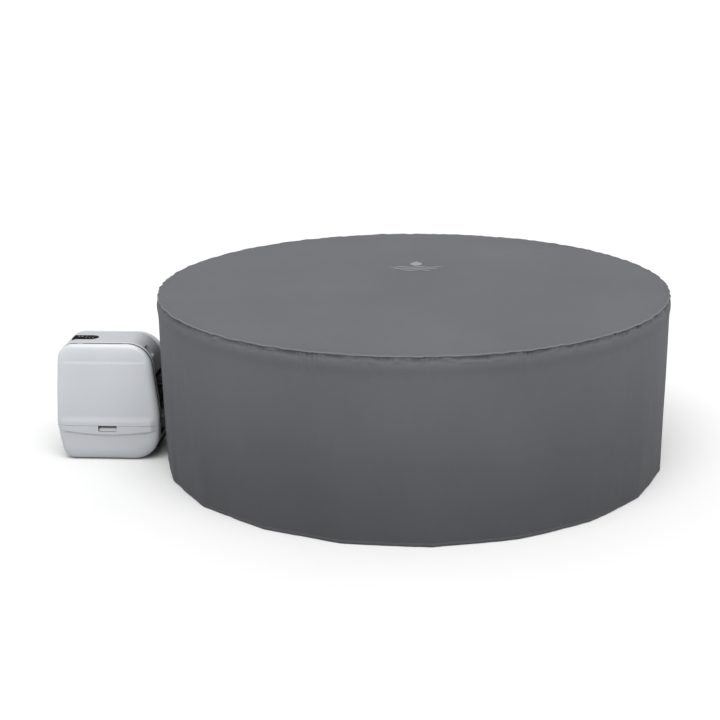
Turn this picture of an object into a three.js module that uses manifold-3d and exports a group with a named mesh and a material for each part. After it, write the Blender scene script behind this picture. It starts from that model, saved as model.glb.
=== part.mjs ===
// A round inflatable hot tub with its filter pump, inflatable lid and fitted thermal cover.
// Millimetres, +Z up, origin on the floor at the centre of the tub. The pump stands on the -X side,
// joined to the tub by three union nuts, and its door faces -Y.
import * as THREE from "three";
import { mergeVertices } from "three/addons/utils/BufferGeometryUtils.js";
import Module from "manifold-3d";

const wasm = await Module();
wasm.setup();

// ---- driving dimensions ----
const GAP = 0.5; // between pieces that touch
const ROUND = 48; // facets round the tub
const TUB = { outer: 980, inner: 735, height: 680, corner: 75 };
const RING = { inner: 655, top: 75, base: 8 };
const FLOOR_THICK = 5;
const LID = { radius: 960, rim: 19, drop: 38, crown: 10 };
const COVER = { top: 1020, hem: 1012, thick: 8, hemZ: 4, seamZ: 699.5, welt: 2.5 };
const COVER_SLOT = { halfWidth: 150, top: 400 };
const HANDLE = { length: 230, stand: 12, thick: 3, width: 38, z: 430, angles: [0, 90, 270] };

// water and air connections, all parallel to X
const UNIONS = {
  inlet: { y: -80, z: 150 },
  outlet: { y: 80, z: 150 },
  air: { y: 0, z: 300 },
};
const PIPE = { outer: 26, bore: 20, hole: 27 };
const NUT = { ribs: 12, radius: 36, rib: 3, x0: -1060, x1: -1012 };
const AIR_DUCT = { radius: 18, x: -850, z: 44 };

// pump casing: the outline is seen from the front, in x and z, with a radius at each corner
const PUMP = { front: -185, back: 165, wall: 4, doorBack: -153, seamZ: 150, top: 489, bottom: 4 };
const REAR_START = 20; // the back shell begins here
const DECK_INSET = 1; // the deck lies this far inside the back shell's line
const OUTLINE = [
  { x: -1422, z: PUMP.bottom, r: 50 },
  { x: -1032, z: PUMP.bottom, r: 108 },
  { x: -1021, z: 195, r: 280 },
  { x: -1052, z: PUMP.top, r: 100 },
  { x: -1423, z: PUMP.top, r: 68 },
  { x: -1438, z: 300, r: 260 },
  { x: -1446, z: 155, r: 150 },
];
const CHASSIS = { y0: -148, y1: -142, rim: -130 };
const DECK_SEAM = { side: -1396, deck: -1394.5 }; // the top deck meets the side casing here
const RECESS = { x: -1085, back: 130, z0: 42, z1: 352 }; // holds the ports, on the tub's side
const FRONT = { depth: 24, top: 73, side: 40, bottom: 55 }; // how far the front face rounds in
const REAR = { top: 145, side: 60, bottom: 40 }; // and the back
const HINGE = { y: -156, z: 483, pin: 2.2, knuckle: 5.6 };
const HINGE_X = { left: -1345, right: -1160, length: 24, ear: 6 }; // knuckles and chassis ears
const FLARE = { out: 6, lip: 13, blend: 34, inset: 26 }; // the door's lower edge kicks out
const LIP = { x0: -1424, x1: -1040, ends: 128, middle: 96, out: 6, inset: 24 };
const NOTCH = { x0: -1273, x1: -1196, z0: 124, depth: 15 };
const GRIP = { x0: -1080, z0: 424, z1: 468, length: 44 }; // hand recess in the shoulder
const HEATER = { y: 84, z: 156 };
const CANISTER = { x: -1290, z: 310, outer: 62, wall: 3, back: 40 };
const NOZZLE = { x: -1206, y: -70 };
const PANEL = { x: -1333, y: -60, length: 106, width: 62, top: 488 };
const GRILLE = { x0: -1300, x1: -1180, z0: 240, z1: 330 };
const GLAND = { x: -1345, z: 84, radius: 10 };
const BUTTON = { radius: 5, top: 489.5, step: 15, row: 22 };
const MOTOR = { y: 40, z: 74, radius: 38, volute: 46, shaft: 12 };
const BLOWER = { x: -1180, z: 395, radius: 52, motor: 26 };
const CONTROL_BOARD = { z: 455, thick: 2 };
const HOSE = 15; // radius of the pump's inner hoses
const FLANGE = 44; // radius of the flanges on the tub wall
const STRAINER = { back: -713, front: -700, dome: -684, slot: 2, pitch: 11 };

// ---- colours ----
const finish = (color, roughness, metalness = 0) =>
  new THREE.MeshStandardMaterial({ color, roughness, metalness });
const CASING = finish(0xc9ccd2, 0.35);
const DARK_CASING = finish(0x3a3b40, 0.5);
const BLACK = finish(0x17171a, 0.3);
const COVER_CLOTH = finish(0x646569, 0.8);
const PVC = finish(0xd5d7da, 0.45);
const VALVE = finish(0x2d2e33, 0.45);
const RUBBER = finish(0x1c1c1e, 0.85);
const STEEL = finish(0xb8babd, 0.3, 1);
const PAPER = finish(0xe8e8e2, 0.9);
const BOARD = finish(0x2f6b45, 0.6);
const WEBBING = finish(0x55565a, 0.9);

// ---- solids: three.js geometries turned into manifold-3d solids for cutting and joining ----
const solid = (geometry) => {
  const bare = geometry.index ? geometry.toNonIndexed() : geometry.clone();
  bare.deleteAttribute("normal");
  bare.deleteAttribute("uv");
  const merged = mergeVertices(bare, 1e-3);
  const triVerts = new Uint32Array(merged.index.array);
  const make = () =>
    new wasm.Manifold(
      new wasm.Mesh({ numProp: 3, vertProperties: merged.attributes.position.array, triVerts }),
    );
  const made = make();
  if (made.volume() > 0) return made;
  for (let i = 0; i < triVerts.length; i += 3) {
    [triVerts[i + 1], triVerts[i + 2]] = [triVerts[i + 2], triVerts[i + 1]];
  }
  return make();
};

const geometryOf = (manifold) => {
  const { vertProperties, numProp, triVerts, numVert } = manifold.getMesh();
  const xyz = new Float32Array(numVert * 3);
  for (let i = 0; i < numVert; i += 1) {
    xyz.set(vertProperties.subarray(i * numProp, i * numProp + 3), i * 3);
  }
  const geometry = new THREE.BufferGeometry();
  geometry.setAttribute("position", new THREE.BufferAttribute(xyz, 3));
  geometry.setIndex(new THREE.BufferAttribute(triVerts, 1));
  geometry.computeVertexNormals();
  return geometry;
};

const joined = (...solids) => solids.reduce((sum, next) => sum.add(next));
const cut = (body, ...tools) => tools.reduce((left, tool) => left.subtract(tool), body);

const box = (x0, x1, y0, y1, z0, z1) => {
  const geometry = new THREE.BoxGeometry(x1 - x0, y1 - y0, z1 - z0);
  return solid(geometry.translate((x0 + x1) / 2, (y0 + y1) / 2, (z0 + z1) / 2));
};

// a profile of [radius, height] pairs turned about Z, and the same turned about X or Y
const lathe = (profile, segments = 32) => {
  const points = profile.map(([r, z]) => new THREE.Vector2(r, z));
  return new THREE.LatheGeometry(points, segments).rotateX(Math.PI / 2);
};
const closedRing = (profile, segments) => lathe([...profile, profile[0]], segments);
const alongX = (geometry, y, z) => geometry.rotateY(Math.PI / 2).translate(0, y, z);
const alongY = (geometry, x, z) => geometry.rotateX(-Math.PI / 2).translate(x, 0, z);
const tubeX = (outer, bore, x0, x1, y, z, segments = 20) =>
  solid(alongX(closedRing([[bore, x0], [outer, x0], [outer, x1], [bore, x1]], segments), y, z));
const rodX = (radius, x0, x1, y, z, segments = 20) =>
  solid(alongX(lathe([[0, x0], [radius, x0], [radius, x1], [0, x1]], segments), y, z));
const rodY = (radius, y0, y1, x, z, segments = 28) =>
  solid(alongY(lathe([[0, y0], [radius, y0], [radius, y1], [0, y1]], segments), x, z));
const rodZ = (radius, z0, z1, x, y, segments = 16) =>
  solid(lathe([[0, z0], [radius, z0], [radius, z1], [0, z1]], segments).translate(x, y, 0));

// quarter turn of an arc as [radius, height] points
const arc = (cx, cz, radius, from, to, steps = 4) =>
  Array.from({ length: steps + 1 }, (_, i) => {
    const angle = THREE.MathUtils.degToRad(from + ((to - from) * i) / steps);
    return [cx + radius * Math.cos(angle), cz + radius * Math.sin(angle)];
  });

// a pipe of round section along a smooth curve through the points
const pipe = (radius, points, steps = 18, sides = 10) => {
  const path = new THREE.CatmullRomCurve3(points.map((p) => new THREE.Vector3(...p)), false, "centripetal");
  const section = new THREE.Shape();
  for (let i = 0; i < sides; i += 1) {
    const angle = (2 * Math.PI * i) / sides;
    section[i ? "lineTo" : "moveTo"](radius * Math.cos(angle), radius * Math.sin(angle));
  }
  return solid(new THREE.ExtrudeGeometry(section, { steps, extrudePath: path, bevelEnabled: false }));
};

const root = new THREE.Group();
const node = (name, shape, material, parent = root) => {
  const geometry = shape.isBufferGeometry ? geometryOf(solid(shape)) : geometryOf(shape);
  const mesh = new THREE.Mesh(geometry, material);
  mesh.name = name;
  parent.add(mesh);
  return mesh;
};

// ---- the tub ----
const airDuctPath = [
  [-974, 0, UNIONS.air.z],
  [-900, 0, UNIONS.air.z],
  [AIR_DUCT.x - 8, 0, UNIONS.air.z - 12],
  [AIR_DUCT.x, 0, UNIONS.air.z - 50],
  [AIR_DUCT.x, 0, 100],
  [AIR_DUCT.x + 8, 0, AIR_DUCT.z + 8],
  [-800, 0, AIR_DUCT.z],
  [-737, 0, AIR_DUCT.z],
];

const drainAngle = 236;
const inflationAngle = 207;
const radial = (manifold, degrees) => manifold.rotate([0, 0, degrees]);
const DRAIN = { z: 104, pipe: 17, bore: 12, flange: 28 };
const INFLATION = { z: 545, body: 23, depth: 32, flange: 31 };

function tubWall() {
  const { outer, inner, height, corner } = TUB;
  const profile = [
    ...arc(outer - corner, corner, corner, -90, 0, 3),
    ...arc(outer - corner, height - corner, corner, 0, 90, 4),
    ...arc(inner + corner, height - corner, corner, 90, 180, 3),
    ...arc(inner + 20, 20, 20, 180, 270, 1),
  ];
  let wall = solid(closedRing(profile, ROUND));
  for (const { y, z } of [UNIONS.inlet, UNIONS.outlet]) {
    wall = wall.subtract(rodX(PIPE.hole, -1100, -600, y, z));
  }
  wall = wall.subtract(rodX(PIPE.hole, -1100, -970, UNIONS.air.y, UNIONS.air.z));
  wall = wall.subtract(pipe(AIR_DUCT.radius + 1.5, airDuctPath, 20));
  wall = wall.subtract(rodX(AIR_DUCT.radius + 1.5, -745, -700, 0, AIR_DUCT.z, 16));
  wall = wall.subtract(radial(rodX(DRAIN.pipe + GAP, 600, 1100, 0, DRAIN.z), drainAngle));
  const pocket = rodX(INFLATION.body + GAP, outer - INFLATION.depth - GAP, 1100, 0, INFLATION.z);
  return wall.subtract(radial(pocket, inflationAngle));
}

function tubFloor() {
  const radius = TUB.inner - 3;
  return lathe([[0, 0], [radius, 0], [radius, FLOOR_THICK], [0, FLOOR_THICK]], ROUND);
}

function airJetRing() {
  const outer = TUB.inner - 3;
  const profile = [
    [RING.inner, RING.base],
    [outer, RING.base],
    [outer, RING.top],
    [outer - 24, RING.top - 4],
    [outer - 52, RING.top - 24],
    [RING.inner + 8, RING.base + 20],
  ];
  const port = rodX(AIR_DUCT.radius, -800, outer * -1 + 16, 0, AIR_DUCT.z);
  return solid(closedRing(profile, ROUND)).subtract(port);
}

// a moulded connector through the wall: flange, pipe and the tail that takes a union nut
function wallFitting({ y, z }) {
  const flange = tubeX(FLANGE, PIPE.bore, -989, -TUB.outer - 1.5, y, z);
  const tube = tubeX(PIPE.outer, PIPE.bore, -1036, -716, y, z);
  return joined(tube, flange);
}

function airWallFitting({ y, z }) {
  const flange = tubeX(FLANGE, PIPE.bore, -989, -TUB.outer - 1.5, y, z);
  return joined(tubeX(PIPE.outer, PIPE.bore, -1036, -975, y, z), flange);
}

// a slotted screw-on screen over the inside end of a water connector
function strainer({ y, z }) {
  const { back, front, dome, slot, pitch } = STRAINER;
  const profile = [[0, back], [FLANGE, back], [FLANGE, front], [FLANGE - 6, dome - 6], [0, dome]];
  const body = solid(alongX(lathe(profile, 20), y, z));
  const socket = rodX(PIPE.outer + 1, -730, back + 5, y, z, 20);
  const skirt = tubeX(FLANGE, PIPE.outer + 1, back - 8, back + 1, y, z, 20);
  const slots = [-2, -1, 0, 1, 2].map((i) => {
    const dy = y + pitch * i;
    return box(front - 4, dome + 4, dy - slot, dy + slot, z - 22, z + 22);
  });
  return cut(joined(body, skirt), socket, ...slots);
}

function inflationValve() {
  const { body, depth, flange, z } = INFLATION;
  const start = TUB.outer - depth;
  const shape = joined(
    tubeX(body, body - 6, start, TUB.outer + 2, 0, z),
    tubeX(flange, body - 6, TUB.outer + 0.5, TUB.outer + 4, 0, z),
  );
  return radial(shape, inflationAngle);
}

const grip = (x0, x1, z) => box(x0, x1, -18, 18, z - 2.5, z + 2.5);

function inflationCap() {
  const { body, z } = INFLATION;
  const face = TUB.outer + 4 + GAP;
  const cap = joined(
    rodX(body + 3, face, face + 6, 0, z),
    rodX(body - 7, TUB.outer - 14, face + 1, 0, z),
    grip(face + 5, face + 13, z),
  );
  return radial(cap, inflationAngle);
}

function drainValve() {
  const { pipe: outer, bore, flange, z } = DRAIN;
  const shape = joined(
    tubeX(outer, bore, TUB.inner - 6, TUB.outer + 6, 0, z),
    tubeX(flange, bore, TUB.outer + 0.5, TUB.outer + 3, 0, z),
  );
  return radial(shape, drainAngle);
}

function drainCap() {
  const { pipe: outer, bore, z } = DRAIN;
  const face = TUB.outer + 6 + GAP;
  const cap = joined(
    rodX(outer + 3, face, face + 5, 0, z),
    rodX(bore - 1, TUB.outer - 12, face + 1, 0, z),
    grip(face + 4, face + 10, z),
  );
  return radial(cap, drainAngle);
}

// a webbing handle that follows the wall and stands off it in the middle
function carryHandle(degrees) {
  const { length, stand, thick, width, z } = HANDLE;
  const steps = 16;
  const strap = new THREE.Shape();
  const side = (lift, i) => {
    const share = (2 * i) / steps - 1;
    const angle = (share * length) / 2 / TUB.outer;
    const bow = Math.abs(share) < 0.6 ? stand * Math.cos((share / 0.6) * (Math.PI / 2)) ** 2 : 0;
    const radius = TUB.outer + 1 + bow + lift;
    return [radius * Math.cos(angle), radius * Math.sin(angle)];
  };
  for (let i = 0; i <= steps; i += 1) strap[i ? "lineTo" : "moveTo"](...side(0, i));
  for (let i = steps; i >= 0; i -= 1) strap.lineTo(...side(thick, i));
  const made = new THREE.ExtrudeGeometry(strap, { depth: width, bevelEnabled: false });
  return radial(solid(made.translate(0, 0, z - width / 2)), degrees);
}

function buildTub() {
  node("tub_wall", tubWall(), PVC);
  node("tub_floor", tubFloor(), PVC);
  node("air_jet_ring", airJetRing(), PVC);
  node("air_duct", pipe(AIR_DUCT.radius, airDuctPath, 20), VALVE);
  node("inlet_wall_fitting", wallFitting(UNIONS.inlet), VALVE);
  node("outlet_wall_fitting", wallFitting(UNIONS.outlet), VALVE);
  node("air_wall_fitting", airWallFitting(UNIONS.air), VALVE);
  node("inlet_strainer", strainer(UNIONS.inlet), VALVE);
  node("outlet_strainer", strainer(UNIONS.outlet), VALVE);
  node("inflation_valve", inflationValve(), VALVE);
  node("inflation_cap", inflationCap(), VALVE);
  node("drain_valve", drainValve(), VALVE);
  node("drain_cap", drainCap(), VALVE);
  HANDLE.angles.forEach((angle, i) => node(`carry_handle_${i + 1}`, carryHandle(angle), WEBBING));
}

// ---- the union nuts ----
function unionNut({ y, z }) {
  const { ribs, radius, rib, x0, x1 } = NUT;
  const barrel = rodX(radius, x0, x1, y, z, 2 * ribs);
  const spans = Array.from({ length: ribs / 2 }, (_, i) => {
    const bar = box(x0 + 3, x1 - 3, -radius - rib, radius + rib, -3, 3);
    return bar.rotate([(360 / ribs) * i, 0, 0]).translate([0, y, z]);
  });
  return cut(joined(barrel, ...spans), rodX(PIPE.outer + 1, x0 - 5, x1 + 5, y, z));
}

// ---- lid and cover ----
const crown = (radius) => LID.crown * (1 - (radius / COVER.top) ** 2);

function inflatableLid() {
  const rest = TUB.height + GAP;
  const rimTop = rest + LID.rim - 1;
  const inside = TUB.inner - 15;
  const profile = [
    [0, rest - LID.drop],
    [inside - 40, rest - LID.drop],
    [inside, rest - 8],
    [inside + 20, rest],
    [LID.radius - 8, rest],
    [LID.radius, rest + 8],
    [LID.radius - 8, rimTop + crown(LID.radius)],
    [800, rimTop + crown(800)],
    [500, rimTop + crown(500)],
    [0, rimTop + LID.crown],
  ];
  return lathe(profile, ROUND);
}

function coverTop() {
  const z = COVER.seamZ + GAP;
  const radii = [0, 500, 800, 1000];
  const top = COVER.thick;
  const profile = [
    ...radii.map((r) => [r, z + crown(r)]),
    [COVER.top, z],
    [COVER.top, z + 3],
    [COVER.top - 7, z + top],
    ...radii.reverse().map((r) => [r, z + crown(r) + top]),
  ];
  return lathe(profile, ROUND);
}

function coverSkirt() {
  const { top, hem, thick, hemZ, seamZ } = COVER;
  const profile = [
    [hem - thick, hemZ],
    [hem, hemZ],
    [top, seamZ - 40],
    [top, seamZ - GAP],
    [top - thick, seamZ - GAP],
    [top - thick, seamZ - 40],
  ];
  const { halfWidth, top: slotTop } = COVER_SLOT;
  const slot = box(-1100, -900, -halfWidth, halfWidth, -10, slotTop - halfWidth * 0.4);
  const arch = new THREE.Shape();
  arch.absellipse(0, 0, halfWidth, halfWidth * 0.4, 0, Math.PI);
  const archSolid = solid(
    new THREE.ExtrudeGeometry(arch, { depth: 200, bevelEnabled: false, curveSegments: 12 })
      .rotateX(Math.PI / 2)
      .rotateZ(Math.PI / 2)
      .translate(-1100, 0, slotTop - halfWidth * 0.4 - 0.01),
  );
  return cut(solid(closedRing(profile, ROUND)), slot, archSolid);
}

function coverPiping() {
  const centre = COVER.top + GAP + COVER.welt;
  return closedRing(arc(centre, COVER.seamZ, COVER.welt, 0, 270, 3), ROUND);
}

function buildCover() {
  node("cover_top", coverTop(), COVER_CLOTH);
  node("cover_skirt", coverSkirt(), COVER_CLOTH);
  node("cover_piping", coverPiping(), COVER_CLOTH);
  node("inflatable_lid", inflatableLid(), PVC);
}

// ---- the pump's casing ----
// Each edge of the outline moved in by its inset, and each corner rounded.
// An inset is one number, or { bottom, side, top }.
const EDGES = ["bottom", "side", "side", "top", "side", "side", "side"];
function outlinePoints(inset, steps = 5) {
  const insetOf = (i) => (typeof inset === "number" ? inset : inset[EDGES[i]]);
  const corners = OUTLINE.map((corner, i) => {
    const last = (i + OUTLINE.length - 1) % OUTLINE.length;
    const before = OUTLINE[last];
    const after = OUTLINE[(i + 1) % OUTLINE.length];
    const unit = (a, b) => new THREE.Vector2(b.x - a.x, b.z - a.z).normalize();
    const u = unit(before, corner);
    const v = unit(corner, after);
    const turn = Math.acos(u.dot(v));
    const [a, b] = [insetOf(last), insetOf(i)];
    const at = new THREE.Vector2(corner.x, corner.z)
      .addScaledVector(u, -b / Math.sin(turn))
      .addScaledVector(v, a / Math.sin(turn));
    return { at, u, turn, r: Math.max(corner.r - Math.min(a, b), 12) };
  });
  return corners.flatMap(({ at, u, turn, r }) => {
    const start = at.clone().addScaledVector(u, -r * Math.tan(turn / 2));
    const centre = start.clone().add(new THREE.Vector2(-u.y, u.x).multiplyScalar(r));
    const from = Math.atan2(start.y - centre.y, start.x - centre.x);
    const count = turn < 0.4 ? 2 : steps;
    return Array.from({ length: count + 1 }, (_, i) => {
      const angle = from + (turn * i) / count;
      return new THREE.Vector2(centre.x + r * Math.cos(angle), centre.y + r * Math.sin(angle));
    });
  });
}

// the outline as a slab from y0 to y1
function slab(inset, y0, y1) {
  const shape = new THREE.Shape(outlinePoints(inset));
  const geometry = new THREE.ExtrudeGeometry(shape, { depth: y1 - y0, bevelEnabled: false });
  return solid(geometry.rotateX(Math.PI / 2).translate(0, y1, 0));
}

// a solid through a row of outlines, each { y, points }
function loft(rings) {
  const shell = [];
  const count = rings[0].points.length;
  const push = (ring, i) => shell.push(ring.points[i % count].x, ring.y, ring.points[i % count].y);
  for (let k = 0; k + 1 < rings.length; k += 1) {
    for (let i = 0; i < count; i += 1) {
      push(rings[k], i);
      push(rings[k], i + 1);
      push(rings[k + 1], i + 1);
      push(rings[k], i);
      push(rings[k + 1], i + 1);
      push(rings[k + 1], i);
    }
  }
  for (const [ring, flip] of [[rings[0], true], [rings[rings.length - 1], false]]) {
    for (const face of THREE.ShapeUtils.triangulateShape(ring.points, [])) {
      const order = flip ? [face[2], face[1], face[0]] : face;
      order.forEach((i) => push(ring, i));
    }
  }
  const geometry = new THREE.BufferGeometry();
  geometry.setAttribute("position", new THREE.Float32BufferAttribute(shell, 3));
  return solid(geometry);
}

// the front end: a soft border round a flat face, as shares of the border's width and depth
const FRONT_CURVE = [[0, 0], [0.04, 0.36], [0.2, 0.72], [0.5, 0.9], [1, 1]];
function frontSolid(inset, yBack) {
  const { depth, top, side, bottom } = FRONT;
  const rings = FRONT_CURVE.map(([across, deep]) => ({
    y: PUMP.front + inset + depth * (1 - deep),
    points: outlinePoints({
      top: inset + top * across,
      side: inset + side * across,
      bottom: inset + bottom * across,
    }),
  }));
  return loft([{ y: yBack, points: outlinePoints(inset) }, ...rings]);
}

// the back end: a long curve down from the top, with tighter ones at the sides and the bottom
function rearSolid(inset, yStart) {
  const end = PUMP.back - inset;
  const reach = end - REAR_START;
  const roll = (y, depth) => {
    const into = Math.max(0, (y - (end - depth)) / depth);
    return 1 - Math.sqrt(Math.max(0, 1 - into ** 2));
  };
  const rings = [0, 15, 30, 45, 60, 75, 90].map((degrees) => {
    const share = Math.sin(THREE.MathUtils.degToRad(degrees));
    const y = REAR_START + reach * share;
    const points = outlinePoints({
      top: inset + REAR.top * roll(y, reach),
      side: inset + REAR.side * roll(y, REAR.side),
      bottom: inset + REAR.bottom * roll(y, REAR.bottom),
    });
    return { y, points };
  });
  return loft([{ y: yStart, points: outlinePoints(inset) }, ...rings]);
}

const FAR = 2000;
const slice = (body, { x0 = -FAR, x1 = FAR, y0 = -FAR, y1 = FAR, z0 = -FAR, z1 = FAR }) =>
  body.intersect(box(x0, x1, y0, y1, z0, z1));

function frontShell() {
  const outer = frontSolid(0, CHASSIS.y0 - GAP);
  const inner = frontSolid(PUMP.wall, CHASSIS.y0 + 10);
  return outer.subtract(inner);
}

// a bar along X from a profile in y and z, kept inside the casing's outline
function bar(profile, inset) {
  const shape = new THREE.Shape(profile.map(([y, z]) => new THREE.Vector2(y, z)));
  const geometry = new THREE.ExtrudeGeometry(shape, { depth: 500, bevelEnabled: false });
  geometry.rotateX(Math.PI / 2).rotateZ(Math.PI / 2).translate(-1480, 0, 0);
  return solid(geometry).intersect(slab(inset, -200, 200));
}

function frontDoor(shell) {
  const face = PUMP.front;
  const panel = slice(shell, { y1: PUMP.doorBack, z0: PUMP.seamZ + 1 });
  const z = PUMP.seamZ + 1;
  const { out, lip, blend, inset } = FLARE;
  const edge = [[face + 3, z], [face - out, z], [face - out, z + lip], [face + 3, z + blend]];
  const flare = bar(edge, inset);
  const knuckle = (x) => rodX(HINGE.knuckle, x, x + HINGE_X.length, HINGE.y, HINGE.z, 16);
  const bore = rodX(HINGE.pin + 0.4, -1500, -1000, HINGE.y, HINGE.z, 16);
  const ears = [HINGE_X.left - HINGE_X.ear, HINGE_X.right + HINGE_X.length].map((x) =>
    box(x - 1.5, x + HINGE_X.ear + 1.5, HINGE.y - 5, HINGE.y + 20, HINGE.z - 20, PUMP.top + 5),
  );
  const body = joined(panel, flare, knuckle(HINGE_X.left), knuckle(HINGE_X.right));
  return cut(body, bore, ...ears);
}

function hingePin() {
  return rodX(HINGE.pin, HINGE_X.left - 12, HINGE_X.right + HINGE_X.length + 12, HINGE.y, HINGE.z, 12);
}

// below the seam: the lip with its finger notch, and the pocket that holds the latch
function lowerFront(shell) {
  const face = PUMP.front;
  const z = PUMP.seamZ - 1;
  const panel = slice(shell, { y1: CHASSIS.y0 - GAP, z1: z });
  const lip = new THREE.Shape();
  lip.moveTo(LIP.x0, z);
  lip.lineTo(LIP.x0, LIP.ends);
  lip.quadraticCurveTo((LIP.x0 + LIP.x1) / 2, LIP.middle, LIP.x1, LIP.ends);
  lip.lineTo(LIP.x1, z);
  const lipSolid = solid(
    new THREE.ExtrudeGeometry(lip, { depth: LIP.out + 3, bevelEnabled: false, curveSegments: 8 })
      .rotateX(Math.PI / 2)
      .translate(0, face + 3, 0),
  ).intersect(slab(LIP.inset, -200, 200));
  const { x0, x1, z0, depth } = NOTCH;
  const pocket = box(x0 - 5, x1 + 5, face + 2, face + depth + 5, z0 - 5, z);
  const opening = box(x0, x1, face - 20, face + depth, z0, z + 10);
  return cut(joined(panel, lipSolid, pocket), opening);
}

function doorLatch() {
  const face = PUMP.front;
  const { x0, x1, z0, depth } = NOTCH;
  const back = face + depth - 4;
  const plate = box(x0 + 2, x1 - 2, back - 4, back, z0 + 1, PUMP.seamZ - 4);
  const ramp = new THREE.Shape();
  ramp.moveTo(back - 3, z0 + 1);
  ramp.lineTo(back - 8, z0 + 1);
  ramp.lineTo(back - 3, z0 + 18);
  const wedge = new THREE.ExtrudeGeometry(ramp, { depth: x1 - x0 - 16, bevelEnabled: false });
  wedge.rotateX(Math.PI / 2).rotateZ(Math.PI / 2).translate(x0 + 8, 0, 0);
  return joined(plate, solid(wedge));
}

function chassis() {
  const { y0, y1, rim: rimBack } = CHASSIS;
  const hole = rodY(CANISTER.outer + 1, -200, 0, CANISTER.x, CANISTER.z);
  const service = box(-1400, -1300, -200, 0, 190, 225);
  const rim = cut(slab(0.6, y1 - 1, rimBack), slab(PUMP.wall + 2, -200, 0));
  const ear = (x) =>
    cut(
      box(x, x + HINGE_X.ear, HINGE.y - 4, y0 + 1, HINGE.z - 6, HINGE.z + 1.6),
      rodX(HINGE.pin + 0.3, x - 5, x + HINGE_X.ear + 5, HINGE.y, HINGE.z, 12),
    );
  const plate = cut(slab(0.6, y0, y1), hole, service);
  return joined(plate, rim, ear(HINGE_X.left - HINGE_X.ear), ear(HINGE_X.right + HINGE_X.length));
}

// the casing behind the chassis, as a shell from the chassis to the back
function bodyShell(inset, y1 = PUMP.back) {
  const outer = rearSolid(inset, CHASSIS.rim + GAP);
  const inner = rearSolid(inset + PUMP.wall, -200);
  return slice(outer.subtract(inner), { y1 });
}

const SPLIT = REAR_START - 1;
const sideCasing = () => slice(bodyShell(0, SPLIT), { x1: DECK_SEAM.side, z0: RECESS.z0 });

function basePan() {
  const shell = slice(bodyShell(0), { z1: RECESS.z0 - 1 });
  const rib = (y) => slice(slab(PUMP.wall - 1, y, y + 4), { z1: 24, x1: -1110 });
  return joined(shell, rib(-64), rib(112));
}

function panelShape(grow) {
  const { length, width } = PANEL;
  const nose = width * 0.55;
  const half = width / 2 + grow;
  const shape = new THREE.Shape();
  shape.moveTo(-length / 2 - grow, -half);
  shape.lineTo(length / 2 - nose, -half);
  shape.absellipse(length / 2 - nose, 0, nose + grow, half, -Math.PI / 2, Math.PI / 2);
  shape.lineTo(-length / 2 + 12 - grow, half);
  return shape;
}

function panelSolid(grow, z0, z1) {
  const made = new THREE.ExtrudeGeometry(panelShape(grow), {
    depth: z1 - z0,
    bevelEnabled: false,
    curveSegments: 8,
  });
  return solid(made.translate(PANEL.x, PANEL.y, z0));
}

const buttonPlaces = Array.from({ length: 6 }, (_, i) => ({
  x: PANEL.x + 2 + BUTTON.step * (i % 3),
  y: PANEL.y + BUTTON.row * (Math.floor(i / 3) - 0.5),
}));
const BUTTON_NAMES = ["power", "heater", "filter", "bubbles", "temp_down", "temp_up"];

function topDeck() {
  const deck = slice(bodyShell(DECK_INSET, SPLIT), { x0: DECK_SEAM.deck, z0: RECESS.z1 });
  const { x0, z0, z1, length } = GRIP;
  const y0 = CHASSIS.rim + GAP;
  const lump = box(x0 - 4, -1000, y0, y0 + length + 4, z0 - 4, z1 + 4);
  const pocket = lump.intersect(rearSolid(DECK_INSET + 1, y0 - 1));
  const hand = box(x0, -1000, y0 + 4, y0 + length, z0, z1);
  return cut(joined(deck, pocket), hand, panelSolid(GAP, 460, 510));
}

function controlBezel() {
  const top = PANEL.top;
  const plate = panelSolid(0, top - 8, top);
  const holes = buttonPlaces.map(({ x, y }) => rodZ(BUTTON.radius + 0.4, 400, 600, x, y, 12));
  return cut(plate, ...holes);
}

function button({ x, y }) {
  const cap = rodZ(BUTTON.radius, PANEL.top - 8, BUTTON.top, x, y, 12);
  return joined(cap, rodZ(BUTTON.radius - 2, PANEL.top - 12, PANEL.top - 7, x, y, 8));
}

function controlBoard() {
  const { z, thick } = CONTROL_BOARD;
  const plate = box(-1384, -1270, -112, -16, z, z + thick);
  const relay = box(-1372, -1350, -104, -84, z + 1, z + 12);
  const chip = box(-1336, -1316, -40, -24, z + 1, z + 5);
  const coil = rodZ(10, z + 1, z + 12, -1290, -94, 16);
  return joined(plate, relay, chip, coil);
}

function rearShell() {
  const { x, back, z0, z1 } = RECESS;
  const { wall } = PUMP;
  const outer = rearSolid(0, REAR_START - GAP);
  const inner = rearSolid(wall, -200);
  const recessSkin = box(x - wall, 0, -200, back + wall, z0 - wall, z1 + wall);
  const shell = slice(outer.subtract(inner.subtract(recessSkin)), { z0 });
  const recess = box(x - wall - 1, 0, -200, back, 0, z1);
  const grille = box(GRILLE.x0, GRILLE.x1, back, 200, GRILLE.z0, GRILLE.z1);
  const gland = rodY(GLAND.radius + 1, back, 200, GLAND.x, GLAND.z, 16);
  return cut(shell, recess, grille, gland);
}

function intakeGrille() {
  const back = PUMP.back - 1;
  const { x0, x1, z0, z1 } = GRILLE;
  const frame = cut(
    box(x0 + GAP, x1 - GAP, back - 8, back, z0 + GAP, z1 - GAP),
    box(x0 + 6, x1 - 6, 0, 200, z0 + 6, z1 - 6),
  );
  const slats = Array.from({ length: 7 }, (_, i) => {
    const z = z0 + 12 + i * 11;
    return box(x0 + 5, x1 - 5, back - 7, back - 1, z, z + 4);
  });
  return joined(frame, ...slats);
}

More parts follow.
